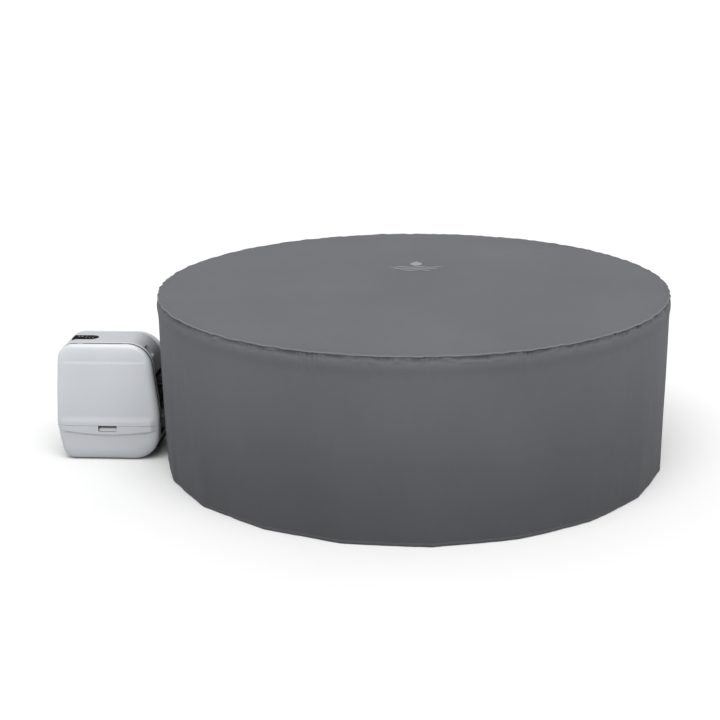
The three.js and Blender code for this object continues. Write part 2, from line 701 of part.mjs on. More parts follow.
function portPanel() {
  const { x, back, z0, z1 } = RECESS;
  const plate = box(x - 4, x, CHASSIS.rim + GAP, back - GAP, z0 + GAP, z1 - GAP);
  const holes = Object.values(UNIONS).map(({ y, z }) => rodX(PIPE.outer + GAP, -1200, -1000, y, z));
  return cut(plate, ...holes);
}

function portSpigot({ y, z }) {
  return joined(
    tubeX(PIPE.outer, PIPE.bore, RECESS.x - 12, -1042, y, z),
    tubeX(34, PIPE.bore, RECESS.x + GAP, RECESS.x + 5, y, z),
  );
}

function cableGland() {
  const { x, z, radius } = GLAND;
  return joined(
    rodY(radius, PUMP.back - 12, PUMP.back + 4, x, z, 16),
    rodY(radius + 4, PUMP.back + 0.5, PUMP.back + 8, x, z, 6),
    rodY(radius - 1, PUMP.back + 7, PUMP.back + 16, x, z, 16),
  );
}

function buildCasing() {
  const shell = frontShell();
  node("front_door", frontDoor(shell), CASING);
  node("lower_front_panel", lowerFront(shell), CASING);
  node("door_latch", doorLatch(), CASING);
  node("door_hinge_pin", hingePin(), STEEL);
  node("chassis", chassis(), CASING);
  node("side_casing", sideCasing(), CASING);
  node("base_pan", basePan(), CASING);
  node("top_deck", topDeck(), CASING);
  node("rear_shell", rearShell(), CASING);
  node("intake_grille", intakeGrille(), DARK_CASING);
  node("port_panel", portPanel(), DARK_CASING);
  node("cable_gland", cableGland(), BLACK);
  node("control_bezel", controlBezel(), BLACK);
  buttonPlaces.forEach((place, i) => node(`button_${BUTTON_NAMES[i]}`, button(place), BLACK));
  [[-1370, -95], [-1370, 95], [-1150, -95], [-1150, 95]].forEach(([x, y], i) => {
    node(`pump_foot_${i + 1}`, rodZ(14, 0, PUMP.bottom - GAP, x, y), RUBBER);
  });
}

// ---- inside the pump ----
function filterCanister() {
  const { x, z, outer, wall, back } = CANISTER;
  const cup = cut(
    rodY(outer, CHASSIS.y0 - 3, back, x, z),
    rodY(outer - wall, -200, back - wall, x, z),
  );
  const flange = cut(
    rodY(outer + 8, CHASSIS.y1 + GAP, CHASSIS.y1 + 5, x, z),
    rodY(outer - 1, -200, 0, x, z),
  );
  const nozzle = rodX(17, x + outer - 2, NOZZLE.x, NOZZLE.y, z, 16);
  return joined(cup, flange, nozzle);
}

function filterCartridge() {
  const pleats = 22;
  const star = new THREE.Shape();
  for (let i = 0; i < 2 * pleats; i += 1) {
    const angle = (Math.PI * i) / pleats;
    const radius = i % 2 ? 44 : 53;
    star[i ? "lineTo" : "moveTo"](radius * Math.cos(angle), radius * Math.sin(angle));
  }
  const core = new THREE.Path();
  core.absarc(0, 0, 20, 0, 2 * Math.PI);
  star.holes.push(core);
  const made = new THREE.ExtrudeGeometry(star, { depth: 90, bevelEnabled: false, curveSegments: 10 });
  return made.rotateX(Math.PI / 2).translate(CANISTER.x, 12, CANISTER.z);
}

function filterLid() {
  const { x, z, outer, wall } = CANISTER;
  const front = CHASSIS.y0 - 3;
  return joined(
    rodY(outer + 5, front - 7, front - GAP, x, z),
    rodY(outer - wall - 1.5, front - 1, front + 10, x, z),
    box(x - 40, x + 40, front - 17, front - 6, z - 6, z + 6),
  );
}

function circulationPump() {
  const { y, z, radius, volute, shaft } = MOTOR;
  return joined(
    rodX(radius, -1350, -1215, y, z),
    rodX(volute, -1398, -1362, y, z),
    rodX(shaft, -1364, -1348, y, z, 16),
  );
}

function airBlower() {
  const { x, z, radius, motor } = BLOWER;
  return joined(
    rodY(radius, -58, 40, x, z),
    box(x + 30, x + 66, -17, 17, z - 43, z - 5),
    rodY(motor, 38, 66, x, z, 16),
  );
}

function buildInsides() {
  node("filter_canister", filterCanister(), DARK_CASING);
  node("filter_cartridge", filterCartridge(), PAPER);
  node("filter_lid", filterLid(), DARK_CASING);
  node("circulation_pump", circulationPump(), BLACK);
  node("heater_vessel", rodX(25, -1388, -1140, HEATER.y, HEATER.z), STEEL);
  node("air_blower", airBlower(), BLACK);
  node("control_board", controlBoard(), BOARD);
  const start = RECESS.x - 13;
  const { inlet, outlet, air } = UNIONS;
  node("suction_pipe", pipe(HOSE, [
    [start, inlet.y, inlet.z],
    [start - 22, inlet.y, inlet.z],
    [-1148, inlet.y + 2, 172],
    [-1156, inlet.y + 5, 230],
    [-1160, NOZZLE.y, 280],
    [-1180, NOZZLE.y, CANISTER.z - 3],
    [-1194, NOZZLE.y, CANISTER.z],
    [NOZZLE.x + GAP, NOZZLE.y, CANISTER.z],
  ]), DARK_CASING);
  node("delivery_pipe", pipe(HOSE, [
    [start, outlet.y, outlet.z],
    [start - 10, outlet.y, outlet.z],
    [-1130, HEATER.y, HEATER.z],
    [-1139.5, HEATER.y, HEATER.z],
  ], 8), DARK_CASING);
  node("air_pipe", pipe(HOSE, [
    [start, air.y, air.z],
    [start - 8, air.y, air.z],
    [-1122, air.y, air.z + 12],
    [-1131, air.y, air.z + 36],
    [-1132, air.y, air.z + 44],
    [-1132, air.y, 351.5],
  ], 10), DARK_CASING);
}

function buildPump() {
  buildCasing();
  buildInsides();
  for (const [name, place] of Object.entries(UNIONS)) {
    node(`${name}_port`, portSpigot(place), DARK_CASING);
    node(`${name}_union_nut`, unionNut(place), VALVE);
  }
}

buildTub();
buildCover();
buildPump();

export default root;
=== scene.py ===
"""Looks for an inflatable hot tub with its fitted cover, inflatable lid and filter pump.

Metres, +Z up, origin on the floor under the tub's centre. The pump stands on -X and its door faces -Y.
"""

from contextlib import contextmanager
from math import acos, asin, atan2, cos, dist, exp, hypot, pi, radians, sin, sqrt, tan

import bmesh
import bpy
import numpy as np
from mathutils import Matrix, Vector, noise


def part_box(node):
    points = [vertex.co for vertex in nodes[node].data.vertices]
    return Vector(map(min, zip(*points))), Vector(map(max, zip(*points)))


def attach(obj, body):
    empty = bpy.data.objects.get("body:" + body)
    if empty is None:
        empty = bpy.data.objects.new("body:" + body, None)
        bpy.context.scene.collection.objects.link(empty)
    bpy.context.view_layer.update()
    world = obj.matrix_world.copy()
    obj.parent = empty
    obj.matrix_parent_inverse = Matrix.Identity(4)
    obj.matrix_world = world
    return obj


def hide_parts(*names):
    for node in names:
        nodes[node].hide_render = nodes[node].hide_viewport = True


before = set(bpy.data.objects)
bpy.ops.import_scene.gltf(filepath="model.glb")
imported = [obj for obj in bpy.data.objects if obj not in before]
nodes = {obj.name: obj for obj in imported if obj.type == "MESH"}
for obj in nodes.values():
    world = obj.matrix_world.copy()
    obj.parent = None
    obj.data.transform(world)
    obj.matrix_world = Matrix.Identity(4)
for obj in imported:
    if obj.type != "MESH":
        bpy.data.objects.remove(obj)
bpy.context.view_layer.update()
TAU = 2 * pi

# ---- places taken from the frame ----
lid_lo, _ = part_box("inflatable_lid")
_, wall_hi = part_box("tub_wall")
skirt_lo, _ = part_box("cover_skirt")
top_lo, top_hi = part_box("cover_top")
_, floor_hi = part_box("tub_floor")
ring_lo, ring_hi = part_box("air_jet_ring")

# ---- camera, lights and floor ----
CAMERA = {"distance": 5.8815, "height": 2.1293, "azimuth": 2.17, "yaw": 2.084, "pitch": 16.49, "roll": -0.63}
LENS = 75
SENSOR = 36
SUN = {"strength": 3.35, "azimuth": 6, "elevation": 61, "spread": 60, "distance": 8}
FLOOR_RADII = (0, 20, 60, 150)
# each part of the sky: the height range that it fades over, and its strength at either end
DOME = (0.0, 1.0, 0.02, 1.10)
BACKDROP = (0.12, 0.30, 1.0, 0.0)


def linked(name, data):
    obj = bpy.data.objects.new(name, data)
    bpy.context.scene.collection.objects.link(obj)
    return obj


def add_camera():
    data = bpy.data.cameras.new("camera")
    data.lens, data.sensor_width, data.clip_end = LENS, SENSOR, 200
    camera = linked("camera", data)
    turn = radians(CAMERA["azimuth"])
    aim = Matrix.Rotation(turn + radians(CAMERA["yaw"]), 4, "Z")
    tilt = Matrix.Rotation(pi / 2 - radians(CAMERA["pitch"]), 4, "X")
    roll = Matrix.Rotation(radians(CAMERA["roll"]), 4, "Z")
    place = Matrix.Rotation(turn, 4, "Z") @ Vector((0, -CAMERA["distance"], CAMERA["height"]))
    camera.matrix_world = Matrix.Translation(place) @ aim @ tilt @ roll
    bpy.context.scene.camera = camera


def add_sun():
    """A broad key light from the camera's side, high up."""
    data = bpy.data.lights.new("key", "SUN")
    data.energy, data.angle = SUN["strength"], radians(SUN["spread"])
    turn, rise = radians(SUN["azimuth"]), radians(SUN["elevation"])
    back = Vector((sin(turn) * cos(rise), -cos(turn) * cos(rise), sin(rise)))
    light = linked("key", data)
    light.location = back * SUN["distance"]
    light.rotation_mode = "QUATERNION"
    light.rotation_quaternion = back.to_track_quat("Z", "Y")


def overhead_sky(tree):
    """A dome of light that is brightest overhead, above a low white backdrop that hides the horizon."""
    where = tree.nodes.new("ShaderNodeTexCoord")
    split = tree.nodes.new("ShaderNodeSeparateXYZ")
    brighter = tree.nodes.new("ShaderNodeMath")
    brighter.operation = "MAXIMUM"
    tree.links.new(where.outputs["Generated"], split.inputs["Vector"])
    for i, (start, end, low, high) in enumerate((DOME, BACKDROP)):
        shade_ramp = tree.nodes.new("ShaderNodeMapRange")
        shade_ramp.inputs["From Min"].default_value, shade_ramp.inputs["From Max"].default_value = start, end
        shade_ramp.inputs["To Min"].default_value, shade_ramp.inputs["To Max"].default_value = low, high
        tree.links.new(split.outputs["Z"], shade_ramp.inputs["Value"])
        tree.links.new(shade_ramp.outputs["Result"], brighter.inputs[i])
    tree.links.new(brighter.outputs["Value"], tree.nodes["Background"].inputs["Strength"])
    tree.nodes["Background"].inputs["Color"].default_value = (1, 1, 1, 1)


def add_stage():
    scene = bpy.context.scene
    scene.view_settings.view_transform = "Standard"
    scene.world = bpy.data.worlds.new("studio")
    scene.world.use_nodes = True
    overhead_sky(scene.world.node_tree)
    add_sun()
    mesh = lathe_mesh("studio_floor", [(r, 0) for r in FLOOR_RADII], 96, closed=False)
    mesh.shade_smooth()
    floor = linked("studio_floor", mesh)
    floor.data.materials.append(pale_floor())


# ---- materials ----
class Shader:
    """A Principled material and short ways to wire procedural detail into it."""

    def __init__(self, name, **sockets):
        self.mat = bpy.data.materials.new(name)
        self.mat.use_nodes = True
        self.tree = self.mat.node_tree
        self.bsdf = self.tree.nodes["Principled BSDF"]
        for key, value in sockets.items():
            self.bsdf.inputs[key.replace("_", " ").title().replace("Ior", "IOR")].default_value = value
        self.height = None

    def node(self, kind, **settings):
        made = self.tree.nodes.new(kind)
        for key, value in settings.items():
            if key in made.inputs:
                made.inputs[key].default_value = value
            else:
                setattr(made, key, value)
        return made

    def link(self, out, into):
        self.tree.links.new(out, into)

    def place(self, stretch=(1, 1, 1), source="Object"):
        mapping = self.node("ShaderNodeMapping", Scale=stretch)
        self.link(self.node("ShaderNodeTexCoord").outputs[source], mapping.inputs["Vector"])
        return mapping.outputs["Vector"]

    def noise(self, scale, detail=3.0, stretch=(1, 1, 1)):
        made = self.node("ShaderNodeTexNoise", Scale=scale, Detail=detail)
        self.link(self.place(stretch), made.inputs["Vector"])
        return made.outputs["Fac"]

    def waves(self, pitch, direction, source="UV", distortion=0.0):
        """Bands a pitch apart, in metres, across X, Y or the diagonal."""
        made = self.node("ShaderNodeTexWave", Scale=TAU / 20 / pitch, Distortion=distortion)
        made.bands_direction = direction
        self.link(self.place(source=source), made.inputs["Vector"])
        return made.outputs["Fac"]

    def math(self, operation, a, b):
        made = self.node("ShaderNodeMath", operation=operation)
        for socket, value in zip(made.inputs, (a, b)):
            if isinstance(value, (int, float)):
                socket.default_value = value
            else:
                self.link(value, socket)
        return made.outputs[0]

    def spread(self, fac, low, high):
        made = self.node("ShaderNodeMapRange")
        made.inputs["To Min"].default_value, made.inputs["To Max"].default_value = low, high
        self.link(fac, made.inputs["Value"])
        return made.outputs["Result"]

    def paint_shade(self, axis, start, end, share):
        """Painted shade: base colour falls to a share of itself from end to start along an axis of the frame,
        standing in for light that falls off.
        """
        split = self.node("ShaderNodeSeparateXYZ")
        self.link(self.place(), split.inputs["Vector"])
        shade_ramp = self.node("ShaderNodeMapRange", interpolation_type="SMOOTHSTEP")
        shade_ramp.inputs["From Min"].default_value, shade_ramp.inputs["From Max"].default_value = start, end
        shade_ramp.inputs["To Min"].default_value = share
        self.link(split.outputs[axis], shade_ramp.inputs["Value"])
        mix = self.node("ShaderNodeMix", data_type="RGBA", blend_type="MULTIPLY")
        mix.inputs["Factor"].default_value = 1.0
        before = self.bsdf.inputs["Base Color"].links[0].from_socket
        self.link(before, mix.inputs["A"])
        self.link(shade_ramp.outputs["Result"], mix.inputs["B"])
        self.link(mix.outputs["Result"], self.bsdf.inputs["Base Color"])

    def colour(self, fac, *colours):
        """Base colour from a factor, through two or more colours evenly spread between 0.3 and 0.7."""
        ramp = self.node("ShaderNodeValToRGB")
        steps = ramp.color_ramp.elements
        while len(steps) < len(colours):
            steps.new(0.5)
        for i, (step, value) in enumerate(zip(steps, colours)):
            step.position = 0.3 + 0.4 * i / (len(colours) - 1)
            step.color = (*value, 1)
        self.link(fac, ramp.inputs["Fac"])
        self.link(ramp.outputs["Color"], self.bsdf.inputs["Base Color"])

    def rough(self, fac, low, high):
        self.link(self.spread(fac, low, high), self.bsdf.inputs["Roughness"])

    def bump(self, fac, depth, strength=0.6):
        made = self.node("ShaderNodeBump", Strength=strength, Distance=depth)
        self.link(fac, made.inputs["Height"])
        if self.height is not None:
            self.link(self.height, made.inputs["Normal"])
        self.height = made.outputs["Normal"]
        self.link(self.height, self.bsdf.inputs["Normal"])


def tint(colour, share):
    return tuple(c * share for c in colour)


def woven(name, colour, pitch, contrast=0.1, depth=0.0004, shade_ramp=None):
    """Plain-woven cloth: warp and weft from UVs in metres, slubs and a slow mottle."""
    s = Shader(name, sheen_weight=0.15, sheen_roughness=0.5, specular_ior_level=0.25)
    s.bsdf.inputs["Sheen Tint"].default_value = (*tint(colour, 2.5), 1)
    weave = s.math("MAXIMUM", s.waves(pitch, "X", distortion=0.4), s.waves(pitch, "Y", distortion=0.4))
    slow = s.noise(2.2, 5)
    slub = s.noise(60, 4, (1, 1, 9))
    tone = s.math("ADD", s.math("MULTIPLY", slow, 0.7), s.math("MULTIPLY", slub, 0.3))
    s.colour(tone, tint(colour, 1 - contrast), colour, tint(colour, 1 + contrast))
    # painted shade: the colour falls along an axis of the frame
    if shade_ramp:
        s.paint_shade(*shade_ramp)
    s.rough(slow, 0.78, 0.92)
    s.bump(s.noise(28, 5), 0.0012, 0.35)
    s.bump(weave, depth, 0.5)
    return s.mat


def moulded(name, colour, rough, grain=900, depth=0.00012, coat=0.0, shade_ramp=None):
    """Injection-moulded plastic: even colour, a fine spark-eroded grain and uneven gloss."""
    s = Shader(name, coat_weight=coat, coat_roughness=0.25)
    s.colour(s.noise(5, 4), tint(colour, 0.98), colour, tint(colour, 1.02))
    # painted shade: the colour falls along an axis of the frame
    if shade_ramp:
        s.paint_shade(*shade_ramp)
    s.rough(s.noise(14, 5), rough - 0.05, rough + 0.07)
    s.bump(s.noise(grain, 2), depth, 0.45)
    return s.mat


def vinyl(name, colour, rough=0.42):
    """Laminated vinyl: a fine embossed mesh with a soft sheen and faint creases."""
    s = Shader(name, coat_weight=0.12, coat_roughness=0.4)
    s.colour(s.noise(3, 5), tint(colour, 0.95), colour, tint(colour, 1.04))
    s.rough(s.noise(9, 4), rough - 0.06, rough + 0.1)
    s.bump(s.noise(16, 6), 0.0018, 0.3)
    mesh = s.math("MAXIMUM", s.waves(0.0024, "X", "Object"), s.waves(0.0024, "Z", "Object"))
    s.bump(mesh, 0.0002, 0.35)
    return s.mat


def pale_floor():
    s = Shader("studio_floor", specular_ior_level=0.1)
    s.colour(s.noise(0.7, 2), (0.62, 0.62, 0.62), (0.64, 0.64, 0.64))
    s.rough(s.noise(2, 2), 0.85, 0.95)
    return s.mat


def gloss_black():
    s = Shader("display_gloss", specular_ior_level=0.10, ior=1.08)
    s.colour(s.noise(20, 2), (0.006, 0.006, 0.008), (0.011, 0.011, 0.013))
    s.rough(s.noise(45, 5), 0.12, 0.22)
    s.bump(s.noise(30, 1), 0.00005, 0.2)
    return s.mat


def brushed():
    s = Shader("brushed_steel", metallic=1.0)
    s.colour(s.noise(30, 4, (0.04, 1, 1)), (0.5, 0.5, 0.51), (0.66, 0.66, 0.67))
    s.rough(s.noise(120, 4, (0.02, 1, 1)), 0.22, 0.38)
    s.bump(s.noise(600, 2, (0.02, 1, 1)), 0.00006, 0.5)
    return s.mat


def circuit():
    s = Shader("solder_mask", coat_weight=0.4, coat_roughness=0.15)
    s.colour(s.noise(160, 1), (0.012, 0.10, 0.04), (0.02, 0.16, 0.07), (0.05, 0.22, 0.10))
    s.rough(s.noise(50, 3), 0.3, 0.45)
    s.bump(s.waves(0.004, "DIAGONAL", "Object", 6.0), 0.0001, 0.5)
    return s.mat


def printed(name, colour):
    s = Shader(name, specular_ior_level=0.4)
    s.colour(s.noise(80, 3), tint(colour, 0.94), tint(colour, 1.03))
    s.rough(s.noise(60, 3), 0.40, 0.50)
    s.bump(s.noise(500, 2), 0.00004, 0.3)
    return s.mat


COVER_GREY = (0.0885, 0.0900, 0.0978)
CASING_GREY = (0.44, 0.455, 0.48)
MATERIALS = {
    # cover cloth: painted shade, darker towards the hem where less light reaches the skirt
    "cover_fabric": woven("cover_cloth", COVER_GREY, 0.0018, shade_ramp=("Z", 0.0, 0.66, 0.62)),
    "cover_binding": woven("cover_binding", tint(COVER_GREY, 0.7), 0.0014, 0.06),
    "cover_trim": woven("welt_cloth", (0.138, 0.139, 0.147), 0.0012, 0.08),
    "thread": woven("thread", (0.14, 0.14, 0.145), 0.0006, 0.1, depth=0.0001),
    "mark": printed("cover_print", (0.20, 0.203, 0.212)),
    "pvc_wall": vinyl("wall_vinyl", (0.40, 0.408, 0.42)),
    "pvc_floor": vinyl("floor_vinyl", (0.34, 0.36, 0.38)),
    "pvc_band": vinyl("seam_vinyl", (0.24, 0.247, 0.26), 0.36),
    "webbing": woven("webbing", (0.07, 0.07, 0.075), 0.0022, 0.15, depth=0.0007),
    # casing plastic: painted shade, darker towards the foot of the pump
    "casing": moulded("casing_plastic", CASING_GREY, 0.34, coat=0.15, shade_ramp=("Z", 0.0, 0.46, 0.82)),
    # deck plastic: a darker copy of the casing grey and a fall towards the tub-facing side, both painted
    # shade
    "casing_deck": moulded("casing_deck", tint(CASING_GREY, 0.82), 0.42, shade_ramp=("X", -1.035, -1.150, 0.50)),
    # lower front plastic: painted shade, darker towards the foot of the pump
    "casing_lower": moulded("casing_foot", CASING_GREY, 0.38, shade_ramp=("Z", 0.0, 0.46, 0.80)),
    "dark_casing": moulded("dark_plastic", (0.030, 0.030, 0.034), 0.5, grain=700, depth=0.0002),
    "valve_plastic": moulded("valve_plastic", (0.040, 0.041, 0.046), 0.42),
    "black_plastic": moulded("black_plastic", (0.014, 0.014, 0.016), 0.4),
    "display_black": gloss_black(),
    "display_mark": printed("display_mark", (0.75, 0.77, 0.80)),
    "steel": brushed(),
    "filter_paper": woven("filter_paper", (0.74, 0.74, 0.70), 0.0009, 0.05),
    "circuit_board": circuit(),
    "foot_rubber": moulded("foot_rubber", (0.016, 0.016, 0.017), 0.82, grain=500, depth=0.0003),
}


# ---- building pieces ----
def smooth(mesh, angle):
    """Smooth shading with edges sharper than the angle kept crisp; at 0 every face is flat."""
    mesh.shade_smooth()
    mesh.set_sharp_from_angle(angle=radians(angle))


def new_object(name, mesh, material, body, replaces=(), angle=35):
    """A piece that rides on a body, and may stand for a node of the frame."""
    smooth(mesh, angle)
    piece = linked(name, mesh)
    mesh.materials.clear()
    mesh.materials.append(MATERIALS[material])
    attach(piece, body)
    if replaces:
        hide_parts(replaces)
    return piece


@contextmanager
def editing(mesh):
    """The mesh as a bmesh, which is written back at the end."""
    made = bmesh.new()
    made.from_mesh(mesh)
    yield made
    made.to_mesh(mesh)
    made.free()


def grid_mesh(name, points, wrap=False, uv=None, close=False):
    """A mesh through points[row][column]; wrap joins the last column to the first, close the last row."""
    rows, columns = points.shape[:2]
    count = columns if wrap else columns - 1
    lines = rows if close else rows - 1
    faces, corners = [], []
    for i in range(lines):
        for j in range(count):
            below, right = (i + 1) % rows, (j + 1) % columns
            faces.append((i * columns + j, i * columns + right, below * columns + right, below * columns + j))
            corners.append(((i, j), (i, j + 1), (i + 1, j + 1), (i + 1, j)))
    mesh = bpy.data.meshes.new(name)
    mesh.from_pydata(points.reshape(-1, 3).tolist(), [], faces)
    if uv is not None:
        layer = mesh.uv_layers.new(name="UVMap")
        flat = [uv(*corner) for quad in corners for corner in quad]
        layer.data.foreach_set("uv", np.array(flat, dtype=np.float32).ravel())
    return mesh


def tidy(mesh, gap=1e-6, outward=True):
    """Merges doubled points, drops what has no area and turns the faces to one side."""
    with editing(mesh) as made:
        bmesh.ops.remove_doubles(made, verts=made.verts, dist=gap)
        bmesh.ops.dissolve_degenerate(made, edges=made.edges, dist=gap)
        if outward:
            bmesh.ops.recalc_face_normals(made, faces=made.faces)
    return mesh


def cap(mesh, width, *rows):
    """Closes a grid mesh, width points across, over each of these rows."""
    with editing(mesh) as made:
        made.verts.ensure_lookup_table()
        for row in rows:
            made.faces.new(made.verts[row * width:(row + 1) * width])
        bmesh.ops.recalc_face_normals(made, faces=made.faces)
    return mesh


def cut(made, point, normal, clear=False):
    geometry = [*made.verts, *made.edges, *made.faces]
    return bmesh.ops.bisect_plane(
        made, geom=geometry, plane_co=point, plane_no=normal, clear_inner=clear, dist=1e-6
    )


def keep_side(mesh, point, normal, close=False):
    """Cuts the mesh at a plane and keeps what lies on the side the normal points to."""
    with editing(mesh) as made:
        found = cut(made, point, normal, clear=True)
        if close:
            rim = [e for e in found["geom_cut"] if isinstance(e, bmesh.types.BMEdge)]
            bmesh.ops.holes_fill(made, edges=rim, sides=0)
    return mesh


def baked(obj):
    """Applies the object's modifiers to its mesh."""
    graph = bpy.context.evaluated_depsgraph_get()
    mesh = bpy.data.meshes.new_from_object(obj.evaluated_get(graph))
    obj.modifiers.clear()
    obj.data = mesh
    return obj


def carve(mesh, *tools, operation="DIFFERENCE", folded=False):
    """The mesh with each tool mesh cut out of it, or joined to it. A folded mesh crosses itself somewhere."""
    obj = linked("work", mesh)
    made = []
    for i, tool in enumerate(tools):
        made.append(linked(f"tool_{i}", tool))
        step = obj.modifiers.new("step", "BOOLEAN")
        step.operation, step.solver, step.object = operation, "EXACT", made[-1]
        step.use_self = folded
    baked(obj)
    mesh = obj.data
    for extra in [obj, *made]:
        bpy.data.objects.remove(extra)
    return mesh


def bevel_edges(obj, width, angle, harden=False):
    soft = obj.modifiers.new("soft", "BEVEL")
    soft.width, soft.segments, soft.limit_method = width, 2, "ANGLE"
    soft.angle_limit, soft.harden_normals = radians(angle), harden


def thicken(mesh, wall, bevel=0.0, inward=True):
    """Gives an open surface a wall, and softens its rim by the bevel."""
    obj = linked("work", tidy(mesh, 2e-6, outward=False))
    step = obj.modifiers.new("wall", "SOLIDIFY")
    step.thickness, step.offset, step.use_even_offset = wall, -1 if inward else 0, True
    if bevel:
        bevel_edges(obj, bevel, 50)
    mesh = baked(obj).data
    bpy.data.objects.remove(obj)
    return mesh


def lathe_mesh(name, profile, segments=96, wobble=None, closed=True):
    """Turns [radius, z] pairs about Z. wobble(theta, radius, z) gives a new radius and z."""
    points = np.zeros((len(profile), segments, 3))
    for j, t in enumerate(np.linspace(0, TAU, segments, endpoint=False)):
        for i, (r, z) in enumerate(profile):
            r, z = wobble(t, r, z) if wobble else (r, z)
            points[i, j] = (r * cos(t), r * sin(t), z)
    return tidy(grid_mesh(name, points, wrap=True, close=closed))


def turned(mesh, origin, axis):
    """Moves a mesh made about +Z so that it stands at origin along an axis."""
    turn = Vector(axis).to_track_quat("Z", "Y").to_matrix().to_4x4()
    mesh.transform(Matrix.Translation(origin) @ turn)
    return mesh


def spin_mesh(name, profile, origin, axis, segments=48):
    """Turns [radius, along] pairs about an axis through origin; the profile starts and ends on the axis."""
    return turned(lathe_mesh(name, profile, segments, closed=False), origin, axis)


def rod_mesh(radius, length, origin, axis, segments=48):
    return spin_mesh("rod", [(0, 0), (radius, 0), (radius, length), (0, length)], origin, axis, segments)


def box_mesh(lo, hi, bevel=0.0):
    """A box with rounded edges."""
    lo, hi = Vector(lo), Vector(hi)
    place = Matrix.Translation((lo + hi) / 2) @ Matrix.Diagonal((*(hi - lo), 1))
    mesh = bpy.data.meshes.new("box")
    with editing(mesh) as made:
        bmesh.ops.create_cube(made, size=1, matrix=place)
        if bevel:
            bmesh.ops.bevel(made, geom=made.edges[:], offset=bevel, segments=3, profile=0.5, affect="EDGES")
    return mesh


def prism_mesh(outline, lo, hi, axis):
    """A closed outline of 2D points drawn out from lo to hi along an axis."""
    rows = np.array([np.insert(np.array(outline, dtype=float), axis, level, axis=1) for level in (lo, hi)])
    return cap(grid_mesh("prism", rows, wrap=True), len(outline), 0, 1)


def joined(name, meshes):
    whole = bpy.data.meshes.new(name)
    with editing(whole) as made:
        for mesh in meshes:
            made.from_mesh(mesh)
    return whole


def sweep_mesh(name, path, section, up, closed=False):
    """Draws a closed 2D section along a path. up(i) gives the section's own y direction."""
    path = [Vector(p) for p in path]
    count = len(path)
    rows, runs = [], [0.0]
    for i, p in enumerate(path):
        ahead = path[(i + 1) % count] if closed or i + 1 < count else p
        behind = path[i - 1] if closed or i else p
        along = (ahead - behind).normalized()
        side = along.cross(Vector(up(i))).normalized()
        lift = side.cross(along)
        rows.append([tuple(p + side * x + lift * y) for x, y in section])
        runs.append(runs[-1] + (path[(i + 1) % count] - p).length)
    spread = [0.0]
    for j, point in enumerate(section):
        spread.append(spread[-1] + dist(point, section[(j + 1) % len(section)]))
    mesh = grid_mesh(name, np.array(rows), wrap=True, close=closed, uv=lambda i, j: (runs[i], spread[j]))
    return mesh if closed else cap(mesh, len(section), 0, count - 1)


def circle(radius, sides):
    return [(radius * cos(TAU * j / sides), radius * sin(TAU * j / sides)) for j in range(sides)]


def rounded_rect(width, height, radius):
    x, y = width / 2 - radius, height / 2 - radius
    points = []
    for cx, cy, start in ((x, y, 0), (-x, y, 90), (-x, -y, 180), (x, -y, 270)):
        points += corner(cx, cy, radius, start, start + 90, 3)
    return points


def ease(low, high, value):
    t = min(max((value - low) / (high - low), 0.0), 1.0)
    return t * t * (3 - 2 * t)


def corner(cx, cz, radius, start, end, steps=9):
    return [(cx + radius * cos(radians(a)), cz + radius * sin(radians(a)))
            for a in np.linspace(start, end, steps)]


def ripple(x, y, z):
    return noise.noise(Vector((x, y, z)))


def round_ripple(t, size, z):
    """A ripple met on the way round a circle; a larger size has more waves."""
    return ripple(size * cos(t), size * sin(t), z)


def finish_nodes(material, *names, width=0.0008):
    """Gives CAD nodes a material, smooth shading and rounded edges, without moving them."""
    for name in names:
        obj = nodes[name]
        obj.data.materials.clear()
        obj.data.materials.append(MATERIALS[material])
        bevel_edges(obj, width, 40)
        smooth(obj.data, 40)


# ---- the cover: a cloth top and skirt sewn to a welt ----
RIM = top_hi.x
SEAM = top_lo.z
HEM = skirt_lo.z
HEM_RADIUS = 1.0168
PANELS = 20  # stiff lengths that the hem hangs in
PANEL_START = radians(12)
PANEL_DEPTH = 0.0100
CLOTH = 0.004
CROWN = 0.010
GATHERS = 390
SLOT = {"half": 0.150, "side": 0.340, "top": 0.400}
SLOT_ANGLE = asin(SLOT["half"] / (RIM - 0.006))
RIM_POINTS = 480
STITCH = {"count": 900, "length": 0.0042, "width": 0.0009, "below": 0.0105, "radius": 0.996}


def cover_height(x, y):
    """Height of the cover's upper face: crowned, with slack that gathers near the rim."""
    r = hypot(x, y)
    t = atan2(y, x)
    slack = 0.0014 * ripple(2.1 * x, 2.1 * y, 3) + 0.0005 * ripple(9 * x, 9 * y, 5)
    pull = ease(0.80, 1.0, r) * 0.0007 * round_ripple(t, 16, 1 + 2 * r)
    pull += ease(0.975, RIM, r) * 0.0010 * round_ripple(t, 44, 30 * r)
    edge = ease(0.968, RIM + 0.001, r)
    return SEAM + 0.0050 + CROWN * (1 - (r / RIM) ** 2) + slack * (1 - edge) + pull - 0.0046 * edge


def build_cover_top():
    radii = np.concatenate([np.linspace(0.0, 0.93, 48), np.linspace(0.94, RIM, 22)])
    angles = np.linspace(0, TAU, RIM_POINTS, endpoint=False)
    points = np.zeros((len(radii), RIM_POINTS, 3))
    for j, t in enumerate(angles):
        tuck = 0.0038 + 0.0010 * round_ripple(t, 60, 8)
        for i, r in enumerate(radii):
            inside = r - ease(0.985, RIM, r) * tuck
            x, y = inside * cos(t), inside * sin(t)
            points[i, j] = (x, y, cover_height(x, y))

    def flat(i, j):
        t = TAU * j / RIM_POINTS
        return radii[i] * cos(t), radii[i] * sin(t)

    mesh = thicken(tidy(grid_mesh("cover_top_cloth", points, wrap=True, uv=flat)), CLOTH)
    return new_object("cover_top_cloth", mesh, "cover_fabric", "cover", replaces="cover_top", angle=60)


